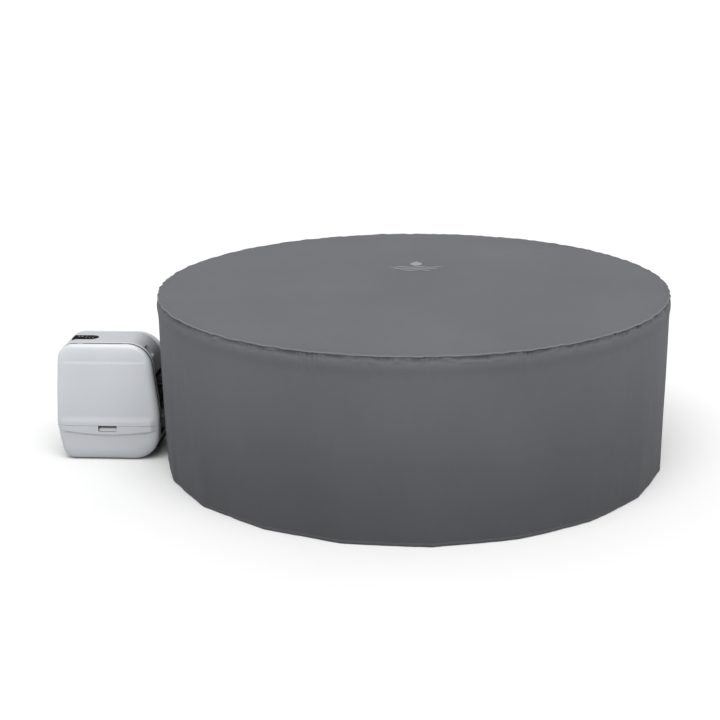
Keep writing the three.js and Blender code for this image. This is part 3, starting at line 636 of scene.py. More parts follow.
def skirt_radius(t, z):
    """Radius of the skirt: gathered under the seam, then hanging in long shallow folds."""
    share = (z - HEM) / (SEAM - HEM)
    down = SEAM - z
    base = HEM_RADIUS + (RIM - HEM_RADIUS) * ease(0.0, 0.55, share)
    base += 0.0042 * exp(-(((down - 0.040) / 0.024) ** 2))
    tuck = max(0.0, 0.55 + 1.7 * round_ripple(t, 17, 9))
    base -= 0.0030 * exp(-((down / 0.018) ** 2))
    base -= 0.0046 * tuck * exp(-(((down - 0.012) / 0.0080) ** 2))
    phase = GATHERS * t + 5.0 * round_ripple(t, 9, 2)
    cluster = max(0.12, 0.5 + 1.5 * round_ripple(t, 7, 4))
    reach = 0.022 + 0.020 * cluster
    gather = 0.0024 * cluster * exp(-down / reach) * (cos(phase) - 1)
    gather += 0.0064 * exp(-(((down - 0.014) / 0.011) ** 2)) * round_ripple(t, 34, 60 * z)
    long_fold = 0.0060 * round_ripple(t, 4.2, 0.8 * share) * (1.05 - share)
    mid_fold = 0.0026 * round_ripple(t, 13, 1.4 * share + 7) * ease(0.0, 0.2, down) * (1.1 - share)
    wrinkle = 0.0011 * round_ripple(t, 30, 9 * z) * ease(0.02, 0.12, down)
    pull = -0.0022 * exp(-((z - HEM) / 0.03) ** 2)
    half = pi / PANELS
    across = ((t + PANEL_START) % (2 * half)) / half - 1
    flat = PANEL_DEPTH * (1 - across * across) * max(0.0, 1 - share) ** 2.2
    return base + gather + long_fold + mid_fold + wrinkle + pull - 0.0012 - flat


def slot_height(t):
    """Height of the slot's arched edge at angle t, which is within the slot."""
    side = min(1.0, abs(sin(t)) / sin(SLOT_ANGLE))
    return SLOT["side"] + (SLOT["top"] - SLOT["side"]) * sqrt(max(0.0, 1 - side * side))


def build_cover_skirt():
    under = 22  # rows below the slot's shoulders
    steps = ((HEM, SLOT["side"], under + 1), (SLOT["side"], SEAM - 0.11, 15),
             (SEAM - 0.11, SEAM - 0.045, 11), (SEAM - 0.045, SEAM, 27))
    rows = np.unique(np.concatenate([np.linspace(*step) for step in steps]).round(7))
    around = np.linspace(-pi + SLOT_ANGLE, pi - SLOT_ANGLE, 1500)
    over = np.linspace(pi - SLOT_ANGLE, pi + SLOT_ANGLE, 76)

    def run(angles, levels, arched):
        points = np.zeros((len(levels), len(angles), 3))
        for j, t in enumerate(angles):
            for i, z in enumerate(levels):
                if arched:
                    arch = slot_height(t)
                    z = arch + (z - SLOT["side"]) / (SEAM - SLOT["side"]) * (SEAM - arch)
                r = skirt_radius(t, z)
                points[i, j] = (r * cos(t), r * sin(t), z)
        return grid_mesh("run", points, uv=lambda i, j: (RIM * angles[j], levels[i]))

    mesh = joined("cover_skirt_cloth", [run(around, rows, False), run(over, rows[under:], True)])
    mesh = thicken(tidy(mesh, 2e-5), CLOTH)
    return new_object("cover_skirt_cloth", mesh, "cover_fabric", "cover", replaces="cover_skirt", angle=60)


def build_welt():
    path = []
    for t in np.linspace(0, TAU, 720, endpoint=False):
        r = RIM - 0.0034 + 0.0052 * round_ripple(t, 24, 1)
        path.append((r * cos(t), r * sin(t), SEAM - 0.0006 + 0.0028 * round_ripple(t, 31, 6)))
    mesh = tidy(sweep_mesh("cover_welt", path, circle(0.0024, 10), lambda _: (0, 0, 1), closed=True))
    return new_object("cover_welt", mesh, "cover_trim", "cover", replaces="cover_piping", angle=80)


def hem_spots():
    """Angle and height along the lower edge of the skirt and round the slot, as one closed line."""
    spots = [(t, HEM) for t in np.linspace(-pi + SLOT_ANGLE, pi - SLOT_ANGLE, 600)]
    spots += [(pi - SLOT_ANGLE, z) for z in np.linspace(HEM, SLOT["side"], 30)[1:-1]]
    for a in np.linspace(0, pi, 40):
        t = pi - asin(cos(a) * sin(SLOT_ANGLE))
        spots.append((t, SLOT["side"] + (SLOT["top"] - SLOT["side"]) * sin(a)))
    return spots + [(pi + SLOT_ANGLE, z) for z in np.linspace(SLOT["side"], HEM, 30)[1:-1]]


def build_hem():
    path, out = [], []
    for t, z in hem_spots():
        r = skirt_radius(t, z) - CLOTH / 2
        path.append((r * cos(t), r * sin(t), z + (0.0046 if z < HEM + 1e-6 else 0)))
        out.append((cos(t), sin(t), 0))
    section = rounded_rect(0.012, CLOTH + 0.0022, 0.0015)
    mesh = tidy(sweep_mesh("cover_hem_binding", path, section, lambda i: out[i], closed=True))
    return new_object(mesh.name, mesh, "cover_binding", "cover", angle=50)


def build_stitches(name, places, length, body, proud):
    """Short raised threads; places are (middle, along, outward) vectors."""
    points, faces = [], []
    for middle, along, outward in places:
        side, lift = along.cross(outward).normalized() * STITCH["width"] / 2, outward * proud
        k = len(points)
        for end in (middle - along * length / 2, middle + along * length / 2):
            points += [end + side, end - side, end - side * 0.6 + lift, end + side * 0.6 + lift]
        faces += [(k + 3, k + 2, k + 1, k), (k + 4, k + 5, k + 6, k + 7)]
        faces += [(k + i, k + (i + 1) % 4, k + 4 + (i + 1) % 4, k + 4 + i) for i in range(4)]
    mesh = bpy.data.meshes.new(name)
    mesh.from_pydata(points, [], faces)
    return new_object(name, tidy(mesh), "thread", body)


def rim_stitches(name, spot, proud, upward):
    """A row of stitches round the cover; spot(t) gives their radius and height."""
    places = []
    for t in np.linspace(0, TAU, STITCH["count"], endpoint=False):
        outward, (r, z) = Vector((cos(t), sin(t), 0)), spot(t)
        along = Vector((-sin(t), cos(t), 0))
        places.append((outward * r + Vector((0, 0, z)), along, Vector((0, 0, 1)) if upward else outward))
    return build_stitches(name, places, STITCH["length"], "cover", proud)


def skirt_stitches():
    z = SEAM - STITCH["below"]
    return rim_stitches("cover_seam_stitches", lambda t: (skirt_radius(t, z) + 0.0001, z), 0.0007, False)


def top_stitches():
    r = STITCH["radius"]
    return rim_stitches("cover_top_stitches",
                        lambda t: (r, cover_height(r * cos(t), r * sin(t)) + 0.0001), 0.0006, True)


def surface_strip(edges):
    """A thin patch on the cover's top through rows of (x, y) points, two or more to a row."""
    points = np.array([[(x, y, cover_height(x, y) + 0.0007) for x, y in row] for row in edges])
    return thicken(grid_mesh("patch", points), 0.0009)


MARK = {"x": 0.004, "y": 0.290, "spans": (0.230, 0.190, 0.130), "pitch": 0.075, "drop": 0.088}


def build_mark():
    """A water mark printed on the top: a drop over three waves."""
    meshes = []
    for k, span in enumerate(MARK["spans"]):
        rows = []
        for u in np.linspace(-0.5, 0.5, 49):
            wave = MARK["y"] - 0.030 * (k + 1) + 0.0065 * sin(TAU * u * span / MARK["pitch"])
            half = 0.0058 * sqrt(max(0.02, 1 - (2 * u) ** 6))
            rows.append([(MARK["x"] + u * span, wave + half * s) for s in (-1, -0.33, 0.33, 1)])
        meshes.append(surface_strip(rows))
    rows = []
    for u in np.linspace(0, 1, 29):
        half = 0.034 * sin(pi * u) * (1 - 0.55 * u) if 0 < u < 1 else 0.0004
        y = MARK["y"] - 0.004 + MARK["drop"] * u
        rows.append([(MARK["x"] + half * s, y) for s in (-1, -0.4, 0.4, 1)])
    meshes.append(surface_strip(rows))
    mesh = tidy(joined("cover_mark", meshes))
    return new_object("cover_mark", mesh, "mark", "cover", angle=60)


LID = {"plug": 0.66, "flange": 0.735, "edge": 0.944, "thick": 0.0165}
WELDS = {"rings": (0.17, 0.34, 0.51), "spokes": 16, "reach": (0.17, 0.62)}


def lid_welds(t, r, z):
    """Raises the lid's underside along its welded rings and spokes."""
    if r >= LID["plug"] or z > lid_lo.z + 0.001:
        return r, z
    ring = min(abs(r - c) for c in WELDS["rings"])
    (start, end), count = WELDS["reach"], WELDS["spokes"]
    spoke = abs((t * count / TAU) % 1 - 0.5) * TAU / count * r if start < r < end else 1
    weld = max(exp(-((ring / 0.011) ** 2)), exp(-((spoke / 0.009) ** 2)))
    return r, z + 0.009 * weld + 0.0012 * round_ripple(t, 9 * r, 4)


def build_lid():
    """The air bladder under the cover: a crowned disc with welded rings and spokes, plugged into the tub."""
    rest, bottom, plug = wall_hi.z + 0.0006, lid_lo.z, LID["plug"]
    profile = [(r, bottom) for r in np.linspace(0.0, plug, 40)]
    profile += [(plug + 0.05 * sin(a), bottom + 0.03 * (1 - cos(a)))
                for a in np.linspace(0.2, pi / 2, 8)]
    profile += [(LID["flange"] + 0.01 * i, rest) for i in range(21)]
    profile += [(LID["edge"] + 0.0115 * cos(a), rest + 0.0085 + 0.0085 * sin(a))
                for a in np.linspace(-pi / 2, pi / 2, 9)]
    profile += [(r, rest + LID["thick"] - 0.0015 + CROWN * (1 - (r / RIM) ** 2))
                for r in np.linspace(0.93, 0.0, 50)]
    mesh = lathe_mesh("inflated_lid", profile, 240, lid_welds, closed=False)
    lid = new_object("inflated_lid", mesh, "pvc_wall", "cover", replaces="inflatable_lid", angle=60)
    valve = [(0, 0), (0.021, 0), (0.021, 0.003), (0.015, 0.005), (0.013, 0.011), (0, 0.012)]
    valve = spin_mesh("lid_valve", valve, (0.30, -0.10, bottom + 0.001), (0, 0, -1))
    new_object("lid_valve", valve, "valve_plastic", "cover")
    return lid


# ---- the tub: inflated wall, floor, jet ring, handles and fittings ----
BEAMS = 36
WALL_CORNER = 0.075
WALL_INNER = 0.735
BANDS = (("top", 0.9803, 0.597, 1), ("bottom", 0.9803, 0.083, 1), ("inside", 0.7347, 0.590, -1))
JETS = 72


def beam(t, width):
    """0 between beams and 1 on the crease over a beam."""
    off = abs((t * BEAMS / TAU) % 1 - 0.5) * TAU / BEAMS * 0.98
    return exp(-((off / width) ** 2))


def wall_give(t, r, z):
    """Where a point of the plain ring lies once the inner beams have pulled the vinyl in."""
    top = wall_hi.z
    crease = beam(t, 0.013) * 0.0055 * ease(0.03, 0.12, z) * ease(top, top - 0.05, z)
    slack = 0.0008 * round_ripple(t, 3 * r, 4 * z)
    lean = 1 if r > 0.86 else -1
    return r - lean * (crease + abs(slack)), z - 0.003 * beam(t, 0.02) * ease(top - 0.02, top, z)


def build_wall():
    outer, top, c = wall_hi.x, wall_hi.z, WALL_CORNER
    profile = corner(outer - c, c, c, -90, 0)
    profile += [(outer, z) for z in np.linspace(c, top - c, 16)[1:-1]]
    profile += corner(outer - c, top - c, c, 0, 90) + corner(WALL_INNER + c, top - c, c, 90, 180)
    profile += [(WALL_INNER, z) for z in np.linspace(top - c, 0.02, 16)[1:-1]]
    profile += corner(WALL_INNER + 0.02, 0.02, 0.02, 180, 270, 4)
    mesh = lathe_mesh("inflated_wall", profile, 720, wall_give)
    wall = new_object("inflated_wall", mesh, "pvc_wall", "tub", replaces="tub_wall", angle=60)


def build_wall_bands():
    """Welded tapes over the seams, outside near the top and the bottom, and inside."""
    for place, radius, z, lean in BANDS:
        inner, outer = radius - 0.003 * lean, radius + 0.0012 * lean
        profile = [(inner, z), (outer, z), (outer, z + 0.016), (inner, z + 0.016)]
        mesh = lathe_mesh(f"wall_band_{place}", profile, 720, wall_give)
        new_object(mesh.name, mesh, "pvc_band", "tub", angle=30)


def floor_cells(t, r, z):
    """Presses the welded grid into the floor's upper face."""
    if z < 0.002:
        return r, z
    cells = sin(r * cos(t) * TAU / 0.05) * sin(r * sin(t) * TAU / 0.05)
    return r, z - 0.0012 * (cells * 0.5 + 0.5) * ease(0.65, 0.6, r)


def build_floor():
    radius, radii = floor_hi.x, np.linspace(0, floor_hi.x, 90)
    profile = [(r, 0.001) for r in radii] + [(r, floor_hi.z) for r in radii[::-1]]
    mesh = lathe_mesh("floor_sheet", profile, 288, floor_cells, closed=False)
    sheet = new_object("floor_sheet", mesh, "pvc_floor", "tub", replaces="tub_floor",
                       angle=60)


def build_jet_ring():
    base, top, inner, outer = ring_lo.z, ring_hi.z, 0.656, 0.7315
    profile = [(outer, base)] + [(outer - inward, top - down) for inward, down in (
        (0, 0.004), (0.012, 0.0005), (0.026, 0.003), (0.040, 0.012), (0.055, 0.025), (0.066, 0.042))]
    profile += [(inner + 0.003, base + 0.017), (inner, base)]

    def tucked(t, r, z):
        tuck = 0.003 * beam(t, 0.02) * ease(base, base + 0.03, z)
        return (r + tuck if r < outer - 0.03 else r), z - tuck * ease(base + 0.02, top, z)

    mesh = lathe_mesh("jet_ring", profile, 480, tucked)
    ring = new_object("jet_ring", mesh, "pvc_wall", "tub", replaces="air_jet_ring", angle=60)
    eyelet = [(0.0022, 0.0), (0.0055, 0.0), (0.0055, 0.0014), (0.0038, 0.002), (0.0022, 0.0008)]
    jets = []
    for k in range(JETS):
        turn = Matrix.Rotation(TAU * (k + 0.5) / JETS, 3, "Z")
        place = turn @ Vector((outer - 0.047, 0, top - 0.0178))
        jets.append(turned(lathe_mesh("jet", eyelet, 12), place, turn @ Vector((-0.55, 0, 0.83))))
    new_object("air_jets", joined("air_jets", jets), "valve_plastic", "tub")


STRAP = {"length": 0.230, "flat": 0.236, "stand": 0.012, "thick": 0.0026, "width": 0.038, "z": 0.430}
HANDLES = (0, 90, 270)


def strap_point(share, lift=0.0):
    """A point along a handle that leaves the wall and comes back, at angle 0."""
    angle = share * STRAP["length"] / 2 / 0.980
    bow = STRAP["stand"] * cos(share / 0.6 * pi / 2) ** 2 if abs(share) < 0.6 else 0.0
    r = 0.9812 + bow + lift
    return Vector((r * cos(angle), r * sin(angle), STRAP["z"]))


def build_handle(number, degrees):
    name, turn = f"webbing_handle_{number}", Matrix.Rotation(radians(degrees), 4, "Z")
    path = [strap_point(share, STRAP["thick"] / 2) for share in np.linspace(-1, 1, 49)]
    section = rounded_rect(STRAP["width"], STRAP["thick"], 0.0011)
    mesh = sweep_mesh(name, path, section, lambda i: (*path[i].xy, 0))
    mesh.transform(turn)
    strap = new_object(name, mesh, "webbing", "tub", replaces=f"carry_handle_{number}", angle=50)

    def stitch(share, z, upright):
        spot = strap_point(share, STRAP["thick"])
        outward = Vector((*spot.xy, 0)).normalized()
        along = Vector((0, 0, 1)) if upright else Vector((-outward.y, outward.x, 0))
        return turn @ (spot + Vector((0, 0, z))), turn @ along, turn @ outward

    places = [stitch(end, (k - 4) * 0.0038, True) for end in (-0.97, -0.66, 0.66, 0.97) for k in range(9)]
    places += [stitch(side * (0.68 + 0.038 * k), z, False)
               for side in (-1, 1) for k in range(8) for z in (-0.0155, 0.0155)]
    stitches = build_stitches(name + "_stitches", places, 0.0028, "tub", 0.0006)
    for side, letter in ((-1, "a"), (1, "b")):
        mesh = handle_patch(side, turn)
        new_object(f"{name}_patch_{letter}", mesh, "pvc_band", "tub", angle=40)


def handle_patch(side, turn):
    """A welded vinyl patch under one end of a handle."""
    rows = []
    for u in np.linspace(-1, 1, 17):
        reach = 0.031 * (1 - abs(u) ** 5) ** 0.2 if abs(u) < 1 else 0.012
        angle = (side * 0.093 + 0.028 * u) / 0.98
        rows.append([(0.9808 * cos(angle), 0.9808 * sin(angle), STRAP["z"] + reach * v)
                     for v in np.linspace(-1, 1, 5)])
    mesh = thicken(grid_mesh("patch", np.array(rows)), 0.0016, 0.0004, inward=False)
    mesh.transform(turn)
    return tidy(mesh)


UNIONS = {"inlet": (-0.080, 0.150), "outlet": (0.080, 0.150), "air": (0.0, 0.300)}
NUT = ((0.0272, 0.0), (0.034, 0.0), (0.0365, 0.0015), (0.037, 0.004), (0.0365, 0.007), (0.0365, 0.016),
       (0.0365, 0.030), (0.0365, 0.041), (0.037, 0.044), (0.0365, 0.0465), (0.034, 0.048), (0.0272, 0.048))
GASKET = ((0.026, 0.0), (0.047, 0.0), (0.048, 0.002), (0.047, 0.004), (0.026, 0.004))


def nut_ribs(t, r, along):
    """Twelve ribs round the middle of a union nut."""
    if r < 0.03 or not 0.0035 < along < 0.0425:
        return r, along
    return r - 0.0026 + 0.0052 * ease(0.35, 0.75, 0.5 + 0.5 * cos(12 * t)), along


def build_unions():
    """Each coupling's hand nut, and the gasket behind its wall fitting."""
    for name, (y, z) in UNIONS.items():
        nut = f"{name}_union_nut"
        mesh = turned(lathe_mesh(nut, NUT, 144, nut_ribs), (-1.060, y, z), (1, 0, 0))
        new_object(f"{nut}_ribbed", mesh, "valve_plastic", nut, replaces=nut, angle=40)
        mesh = turned(lathe_mesh("gasket", GASKET, 64), (-0.9815, y, z), (1, 0, 0))
        new_object(f"{name}_gasket", mesh, "foot_rubber", "tub", angle=40)


def build_cover():
    top = build_cover_top()
    skirt = build_cover_skirt()
    welt = build_welt()
    mark = build_mark()
    top_row = top_stitches()
    hem = build_hem()
    skirt_row = skirt_stitches()
    lid = build_lid()


def build_tub():
    build_wall()
    build_wall_bands()
    build_floor()
    build_jet_ring()
    for number, degrees in enumerate(HANDLES, 1):
        build_handle(number, degrees)
    build_unions()
    finish_nodes("valve_plastic", "air_duct", "inlet_wall_fitting", "outlet_wall_fitting",
                 "air_wall_fitting", "inlet_strainer", "outlet_strainer", "inflation_valve",
                 "inflation_cap", "drain_valve", "drain_cap")


# ---- the pump's casing ----
OUTLINE = (
    (-1.422, 0.004, 0.050), (-1.032, 0.004, 0.108), (-1.021, 0.195, 0.280), (-1.052, 0.489, 0.100),
    (-1.423, 0.489, 0.068), (-1.438, 0.300, 0.260), (-1.446, 0.155, 0.150),
)
EDGES = ("bottom", "side", "side", "top", "side", "side", "side")
FACE = -0.185
BACK = 0.165
WALL = 0.004
SEAM_Z = 0.150
DOOR_BACK = -0.153
CHASSIS_Y = (-0.148, -0.130)
FLAT_FRONT = -0.162  # nearer than this the front is flat enough to take relief
REAR_START = 0.020
DECK_INSET = 0.001
FRONT = {"depth": 0.024, "top": 0.073, "side": 0.040, "bottom": 0.055}
REAR = {"top": 0.145, "side": 0.060, "bottom": 0.040}


def outline(inset):
    """The casing seen from the front as x, z points, each edge moved in by its inset."""
    of = [inset[e] if isinstance(inset, dict) else inset for e in EDGES]
    spots = [Vector(spot[:2]) for spot in OUTLINE]
    points = []
    for i, here in enumerate(spots):
        r = OUTLINE[i][2]
        u, v = (here - spots[i - 1]).normalized(), (spots[(i + 1) % len(spots)] - here).normalized()
        turn = acos(u.dot(v))
        a, b = of[i - 1], of[i]
        at = here - u * (b / sin(turn)) + v * (a / sin(turn))
        r = max(r - min(a, b), 0.012)
        start = at - u * (r * tan(turn / 2))
        centre = start + Vector((-u.y, u.x)) * r
        first = atan2(start.y - centre.y, start.x - centre.x)
        arc = 6 if turn < 0.4 else 14
        for k in range(arc + 1):
            angle = first + turn * k / arc
            points.append((centre.x + r * cos(angle), centre.y + r * sin(angle)))
    return points


def loft_mesh(rings, both=False):
    """A skin through rings of (y, x-z points), capped at the last ring, or at both."""
    points = np.array([[(x, y, z) for x, z in ring] for y, ring in rings])
    return cap(grid_mesh("loft", points, wrap=True), points.shape[1], len(rings) - 1, *([0] if both else []))


def front_skin(step=0.0):
    """The front of the casing: a flat face with a soft border, and a step down behind it."""
    depth = FRONT["depth"]
    rings = [(CHASSIS_Y[0] - 0.0005, outline(step))]
    if step:
        rings += [(FACE + depth + 0.0035, outline(step)), (FACE + depth + 0.0012, outline(0.0))]
    for a in np.linspace(0, pi / 2, 17):
        across, deep = 1 - cos(a) ** (2 / 2.4), sin(a) ** (2 / 2.4)
        inset = {key: FRONT[key] * across for key in ("top", "side", "bottom")}
        rings.append((FACE + depth * (1 - deep), outline(inset)))
    return loft_mesh(rings)


def rear_skin(inset, start, both=False):
    """The back of the casing: straight to REAR_START and then rolled in, most of all at the top."""
    end = BACK - inset
    reach = end - REAR_START

    def roll(y, depth):
        into = max(0.0, (y - (end - depth)) / depth)
        return 1 - sqrt(max(0.0, 1 - into * into))

    rings = [(start, outline(inset))]
    for a in np.linspace(0, pi / 2, 19):
        y = REAR_START + reach * sin(a)
        depths = {"top": reach, "side": REAR["side"], "bottom": REAR["bottom"]}
        rings.append((y, outline({key: inset + REAR[key] * roll(y, depth) for key, depth in depths.items()})))
    return loft_mesh(rings, both)


def gridded(mesh, xs, zs):
    """Adds edge lines at these x and z, so that a flat face can take relief."""
    with editing(mesh) as made:
        for values, normal in ((xs, Vector((1, 0, 0))), (zs, Vector((0, 0, 1)))):
            for value in values:
                cut(made, normal * value, normal)
    return mesh


def side_mask(x, z, start, end):
    """0 within start of the casing's left and right edges and 1 beyond end."""
    left = x + 1.4445 - 0.022 * ease(0.155, 0.489, z)
    right = -1.023 - x - 0.029 * ease(0.195, 0.489, z)
    return ease(start, end, left) * ease(start, end, right)


def relief(mesh, push):
    """Moves points of the front face along Y by push(x, z), and gives the skin its wall."""
    for v in mesh.vertices:
        if v.co.y < FLAT_FRONT:
            v.co.y += push(v.co.x, v.co.z)
    return thicken(mesh, WALL)


def casing_piece(name, mesh, node, material="casing", body="pump", width=0.0008):
    """A casing part with its edges rounded, which stands for a node of the frame."""
    piece = new_object(name, tidy(mesh, 2e-6), material, body, replaces=node, angle=38)
    bevel_edges(piece, width, 50, harden=True)
    return piece


HINGE = Vector((0.0, -0.156, 0.483))
EARS = (-1.351, -1.136)
EAR = 0.006
DOOR_LINES = (0.1545, 0.158, 0.1615, 0.165, 0.1685, 0.172, 0.176, 0.180, 0.185, 0.191, 0.198, 0.21,
              0.408, 0.412, 0.4155, 0.419, 0.4225, 0.426, 0.430)


def door_push(x, z):
    """The door's foot kicks out and its face steps in under the top ledge."""
    kick = 0.0060 * (1 - ease(0.163, 0.188, z)) * side_mask(x, z, 0.012, 0.040)
    return 0.0026 * ease(0.411, 0.421, z) * side_mask(x, z, 0.012, 0.034) - kick


def build_door():
    mesh = keep_side(front_skin(0.0042), (0, 0, SEAM_Z + 0.0006), (0, 0, 1))
    mesh = keep_side(mesh, (0, DOOR_BACK, 0), (0, -1, 0))
    mesh = relief(gridded(mesh, np.linspace(-1.44, -1.03, 42), DOOR_LINES), door_push)
    low, high = HINGE + Vector((-0.0015, -0.005, -0.020)), HINGE + Vector((EAR + 0.0015, 0.020, 0.012))
    cutters = [box_mesh(low + Vector((x, 0, 0)), high + Vector((x, 0, 0))) for x in EARS]
    casing_piece("door_panel", carve(mesh, *cutters, folded=True), "front_door", body="door", width=0.0011)
    knuckles = [rod_mesh(0.0056, 0.024, (x, HINGE.y, HINGE.z), (1, 0, 0), 24) for x in (-1.345, -1.160)]
    new_object("door_knuckles", joined("door_knuckles", knuckles), "casing", "door")


NOTCH = {"x": (-1.273, -1.196), "z": 0.124, "depth": 0.015, "corner": 0.006}


def lip_push(x, z):
    """The crescent lip under the door stands proud of the lower front."""
    edge = 0.112 + 0.016 * ((x + 1.232) / 0.192) ** 2
    return -0.0060 * ease(edge - 0.003, edge + 0.002, z) * side_mask(x, z, 0.012, 0.036)


def build_lower_front():
    (x0, x1), z0, depth, r = NOTCH["x"], NOTCH["z"], NOTCH["depth"], NOTCH["corner"]
    top = SEAM_Z - 0.0005
    mesh = keep_side(front_skin(), (0, 0, top), (0, 0, -1))
    mesh = relief(gridded(mesh, np.linspace(-1.44, -1.03, 70), np.linspace(0.100, 0.146, 24)), lip_push)
    far = (x1 + WALL, FACE + depth + WALL, top - 0.0004)
    pocket = box_mesh((x0 - WALL, FACE + 0.0005, z0 - WALL), far)
    mesh = carve(mesh, pocket, operation="UNION")
    opening = [(x1, top + 0.02), (x0, top + 0.02)]
    opening += corner(x0 + r, z0 + r, r, 180, 270, 6) + corner(x1 - r, z0 + r, r, 270, 360, 6)
    mesh = carve(mesh, prism_mesh(opening, FACE - 0.02, FACE + depth, 1))
    casing_piece("lower_front_skin", mesh, "lower_front_panel", material="casing_lower", width=0.0011)


def build_latch():
    """The sloped finger tab in the notch, and above it a dark strip of painted shade where the opening lies
    in shadow.
    """
    (x0, x1), z0, back = NOTCH["x"], NOTCH["z"], FACE + NOTCH["depth"] - 0.004
    tab = [(back - 0.0095, z0 + 0.001), (back, z0 + 0.001), (back, z0 + 0.0145), (back - 0.0025, z0 + 0.0145)]
    mesh = prism_mesh(tab, x0 + 0.002, x1 - 0.002, 0)
    casing_piece("latch_tab", mesh, "door_latch", body="latch", width=0.0009)
    # painted shade: a dark strip above the tab for the shaded opening under the door
    low, high = (x0 + 0.002, back - 0.001, z0 + 0.0148), (x1 - 0.002, back + 0.0004, SEAM_Z - 0.004)
    new_object("latch_opening_shade", box_mesh(low, high, 0.0004), "dark_casing", "latch", angle=0)


CANISTER = {"x": -1.290, "z": 0.310, "hole": 0.063, "lid": -0.151}
BOSS = ((0, 0), (0.006, 0), (0.006, 0.0045), (0.0028, 0.0045), (0.0028, 0.002), (0, 0.002))
BOSSES = ((-1.405, 0.445), (-1.405, 0.130), (-1.070, 0.130), (-1.085, 0.430), (-1.405, 0.280))


def solid_slab(inset, y0, y1):
    return prism_mesh(outline(inset), y0, y1, 1)


def build_chassis():
    front, back = CHASSIS_Y
    canister = rod_mesh(CANISTER["hole"], 0.2, (CANISTER["x"], -0.20, CANISTER["z"]), (0, 1, 0), 64)
    window = box_mesh((-1.400, -0.2, 0.190), (-1.300, 0, 0.225))
    body = carve(solid_slab(0.0006, front, back), solid_slab(0.006, front + 0.006, 0.0))
    casing_piece("chassis_frame", carve(body, canister, window), "chassis")
    (_, y, z), ribs = HINGE, (-1.205, -1.150, -1.095)
    details = [box_mesh((x, y - 0.004, z - 0.006), (x + EAR, front + 0.001, z + 0.0016), 0.0008)
               for x in EARS]
    details += [box_mesh((x, -0.1515, 0.06), (x + 0.002, -0.147, 0.40), 0.0005) for x in ribs]
    details += [spin_mesh("boss", BOSS, (x, -0.1475, z), (0, -1, 0), 20) for x, z in BOSSES]
    new_object("chassis_details", joined("chassis_details", details), "casing", "pump")
    # a black rubber door seal, whose front face also paints the dark shade of the gap between the door and
    # the deck
    ring = carve(solid_slab(0.0002, front - 0.0022, front - 0.0002), solid_slab(0.0095, -0.2, 0.0))
    ring = keep_side(ring, (0, 0, SEAM_Z + 0.006), (0, 0, 1), close=True)
    casing_piece("door_seal_and_gap_shade", ring, (), material="foot_rubber", width=0.0004)


RECESS = {"x": -1.085, "back": 0.130, "z": (0.042, 0.352)}  # the open bay where the couplings stand
BEHIND = CHASSIS_Y[1] + 0.0005  # where the casing's back half starts
SPLIT = REAR_START - 0.001  # where the sides and the deck meet the rear shell


def shell(inset, keep, start=BEHIND):
    """A wall of the casing's back half, cut by each (point, normal) plane."""
    mesh = rear_skin(inset, start)
    for point, normal in keep:
        mesh = keep_side(mesh, point, normal)
    return thicken(mesh, WALL)


def build_side_casing():
    low = RECESS["z"][0]
    keep = [((-1.396, 0, 0), (-1, 0, 0)), ((0, SPLIT, 0), (0, -1, 0)), ((0, 0, low), (0, 0, 1))]
    casing_piece("side_skin", shell(0.0, keep), "side_casing")


def build_base_pan():
    top = RECESS["z"][0]
    mesh = shell(0.0, [((0, 0, top - 0.001), (0, 0, -1))])
    casing_piece("base_skin", mesh, "base_pan", material="casing_lower")
    floor = box_mesh((-1.0895, -0.128, top - 0.0035), (-1.040, 0.1290, top - 0.0015), 0.0004)
    new_object("recess_floor", floor, "dark_casing", "pump", angle=0)


PANEL = {"x": -1.333, "y": -0.060, "length": 0.106, "width": 0.062, "top": 0.488}


def panel_outline(grow):
    """The display seen from above: square on the left and rounded on the right."""
    length, width = PANEL["length"], PANEL["width"]
    nose, half = 0.55 * width, width / 2 + grow
    points = []
    for sign, start in ((1, 90), (-1, 180)):
        cx, cy = -length / 2 - grow + 0.006, sign * (half - 0.006)
        points += [(cx + 0.006 * cos(radians(a)), cy + 0.006 * sin(radians(a)))
                   for a in np.linspace(start, start + 90, 6)]
    points += [(length / 2 - nose + (nose + grow) * cos(a), half * sin(a))
               for a in np.linspace(-pi / 2, pi / 2, 33)]
    return [(PANEL["x"] + x, PANEL["y"] + y) for x, y in points]


GRIP = {"x": -1.080, "z": (0.424, 0.468), "length": 0.044}


def build_top_deck():
    low = RECESS["z"][1]
    keep = [((-1.3945, 0, 0), (1, 0, 0)), ((0, SPLIT, 0), (0, -1, 0)), ((0, 0, low), (0, 0, 1))]
    mesh = shell(DECK_INSET, keep)
    x0, (z0, z1), end = GRIP["x"], GRIP["z"], BEHIND + GRIP["length"]
    lump = box_mesh((x0 - WALL, BEHIND, z0 - WALL), (-1.0, end + WALL, z1 + WALL))
    lump = carve(lump, rear_skin(DECK_INSET + 0.0012, BEHIND - 0.01, both=True), operation="INTERSECT")
    hand = box_mesh((x0, BEHIND + WALL, z0), (-1.0, end, z1), 0.004)
    mesh = carve(mesh, lump, operation="UNION")
    mesh = carve(mesh, hand, prism_mesh(panel_outline(0.0005), 0.460, 0.510, 2))
    casing_piece("deck_skin", mesh, "top_deck", material="casing_deck")
    ceiling = box_mesh((-1.0895, -0.128, low + 0.0005), (-1.044, REAR_START - 0.0012, low + 0.0025), 0.0004)
    new_object("recess_ceiling", ceiling, "dark_casing", "pump", angle=0)


GRILLE = {"x": (-1.300, -1.180), "z": (0.240, 0.330)}
GLAND = {"x": -1.345, "z": 0.084, "radius": 0.011}
WELL = ((0, -0.002), (0.0062, -0.002), (0.0075, 0.0004), (0.0052, 0.0002), (0.0046, -0.001), (0, -0.001))
SCREW = ((0, -0.0015), (0.0038, -0.0015), (0.0036, 0.0002), (0.0012, 0.0004), (0.0009, -0.0006), (0, -0.0006))
SCREWS = ((-1.300, 0.066), (-1.135, 0.072), (-1.372, 0.200), (-1.100, 0.200), (-1.362, 0.300),
          (-1.115, 0.300))


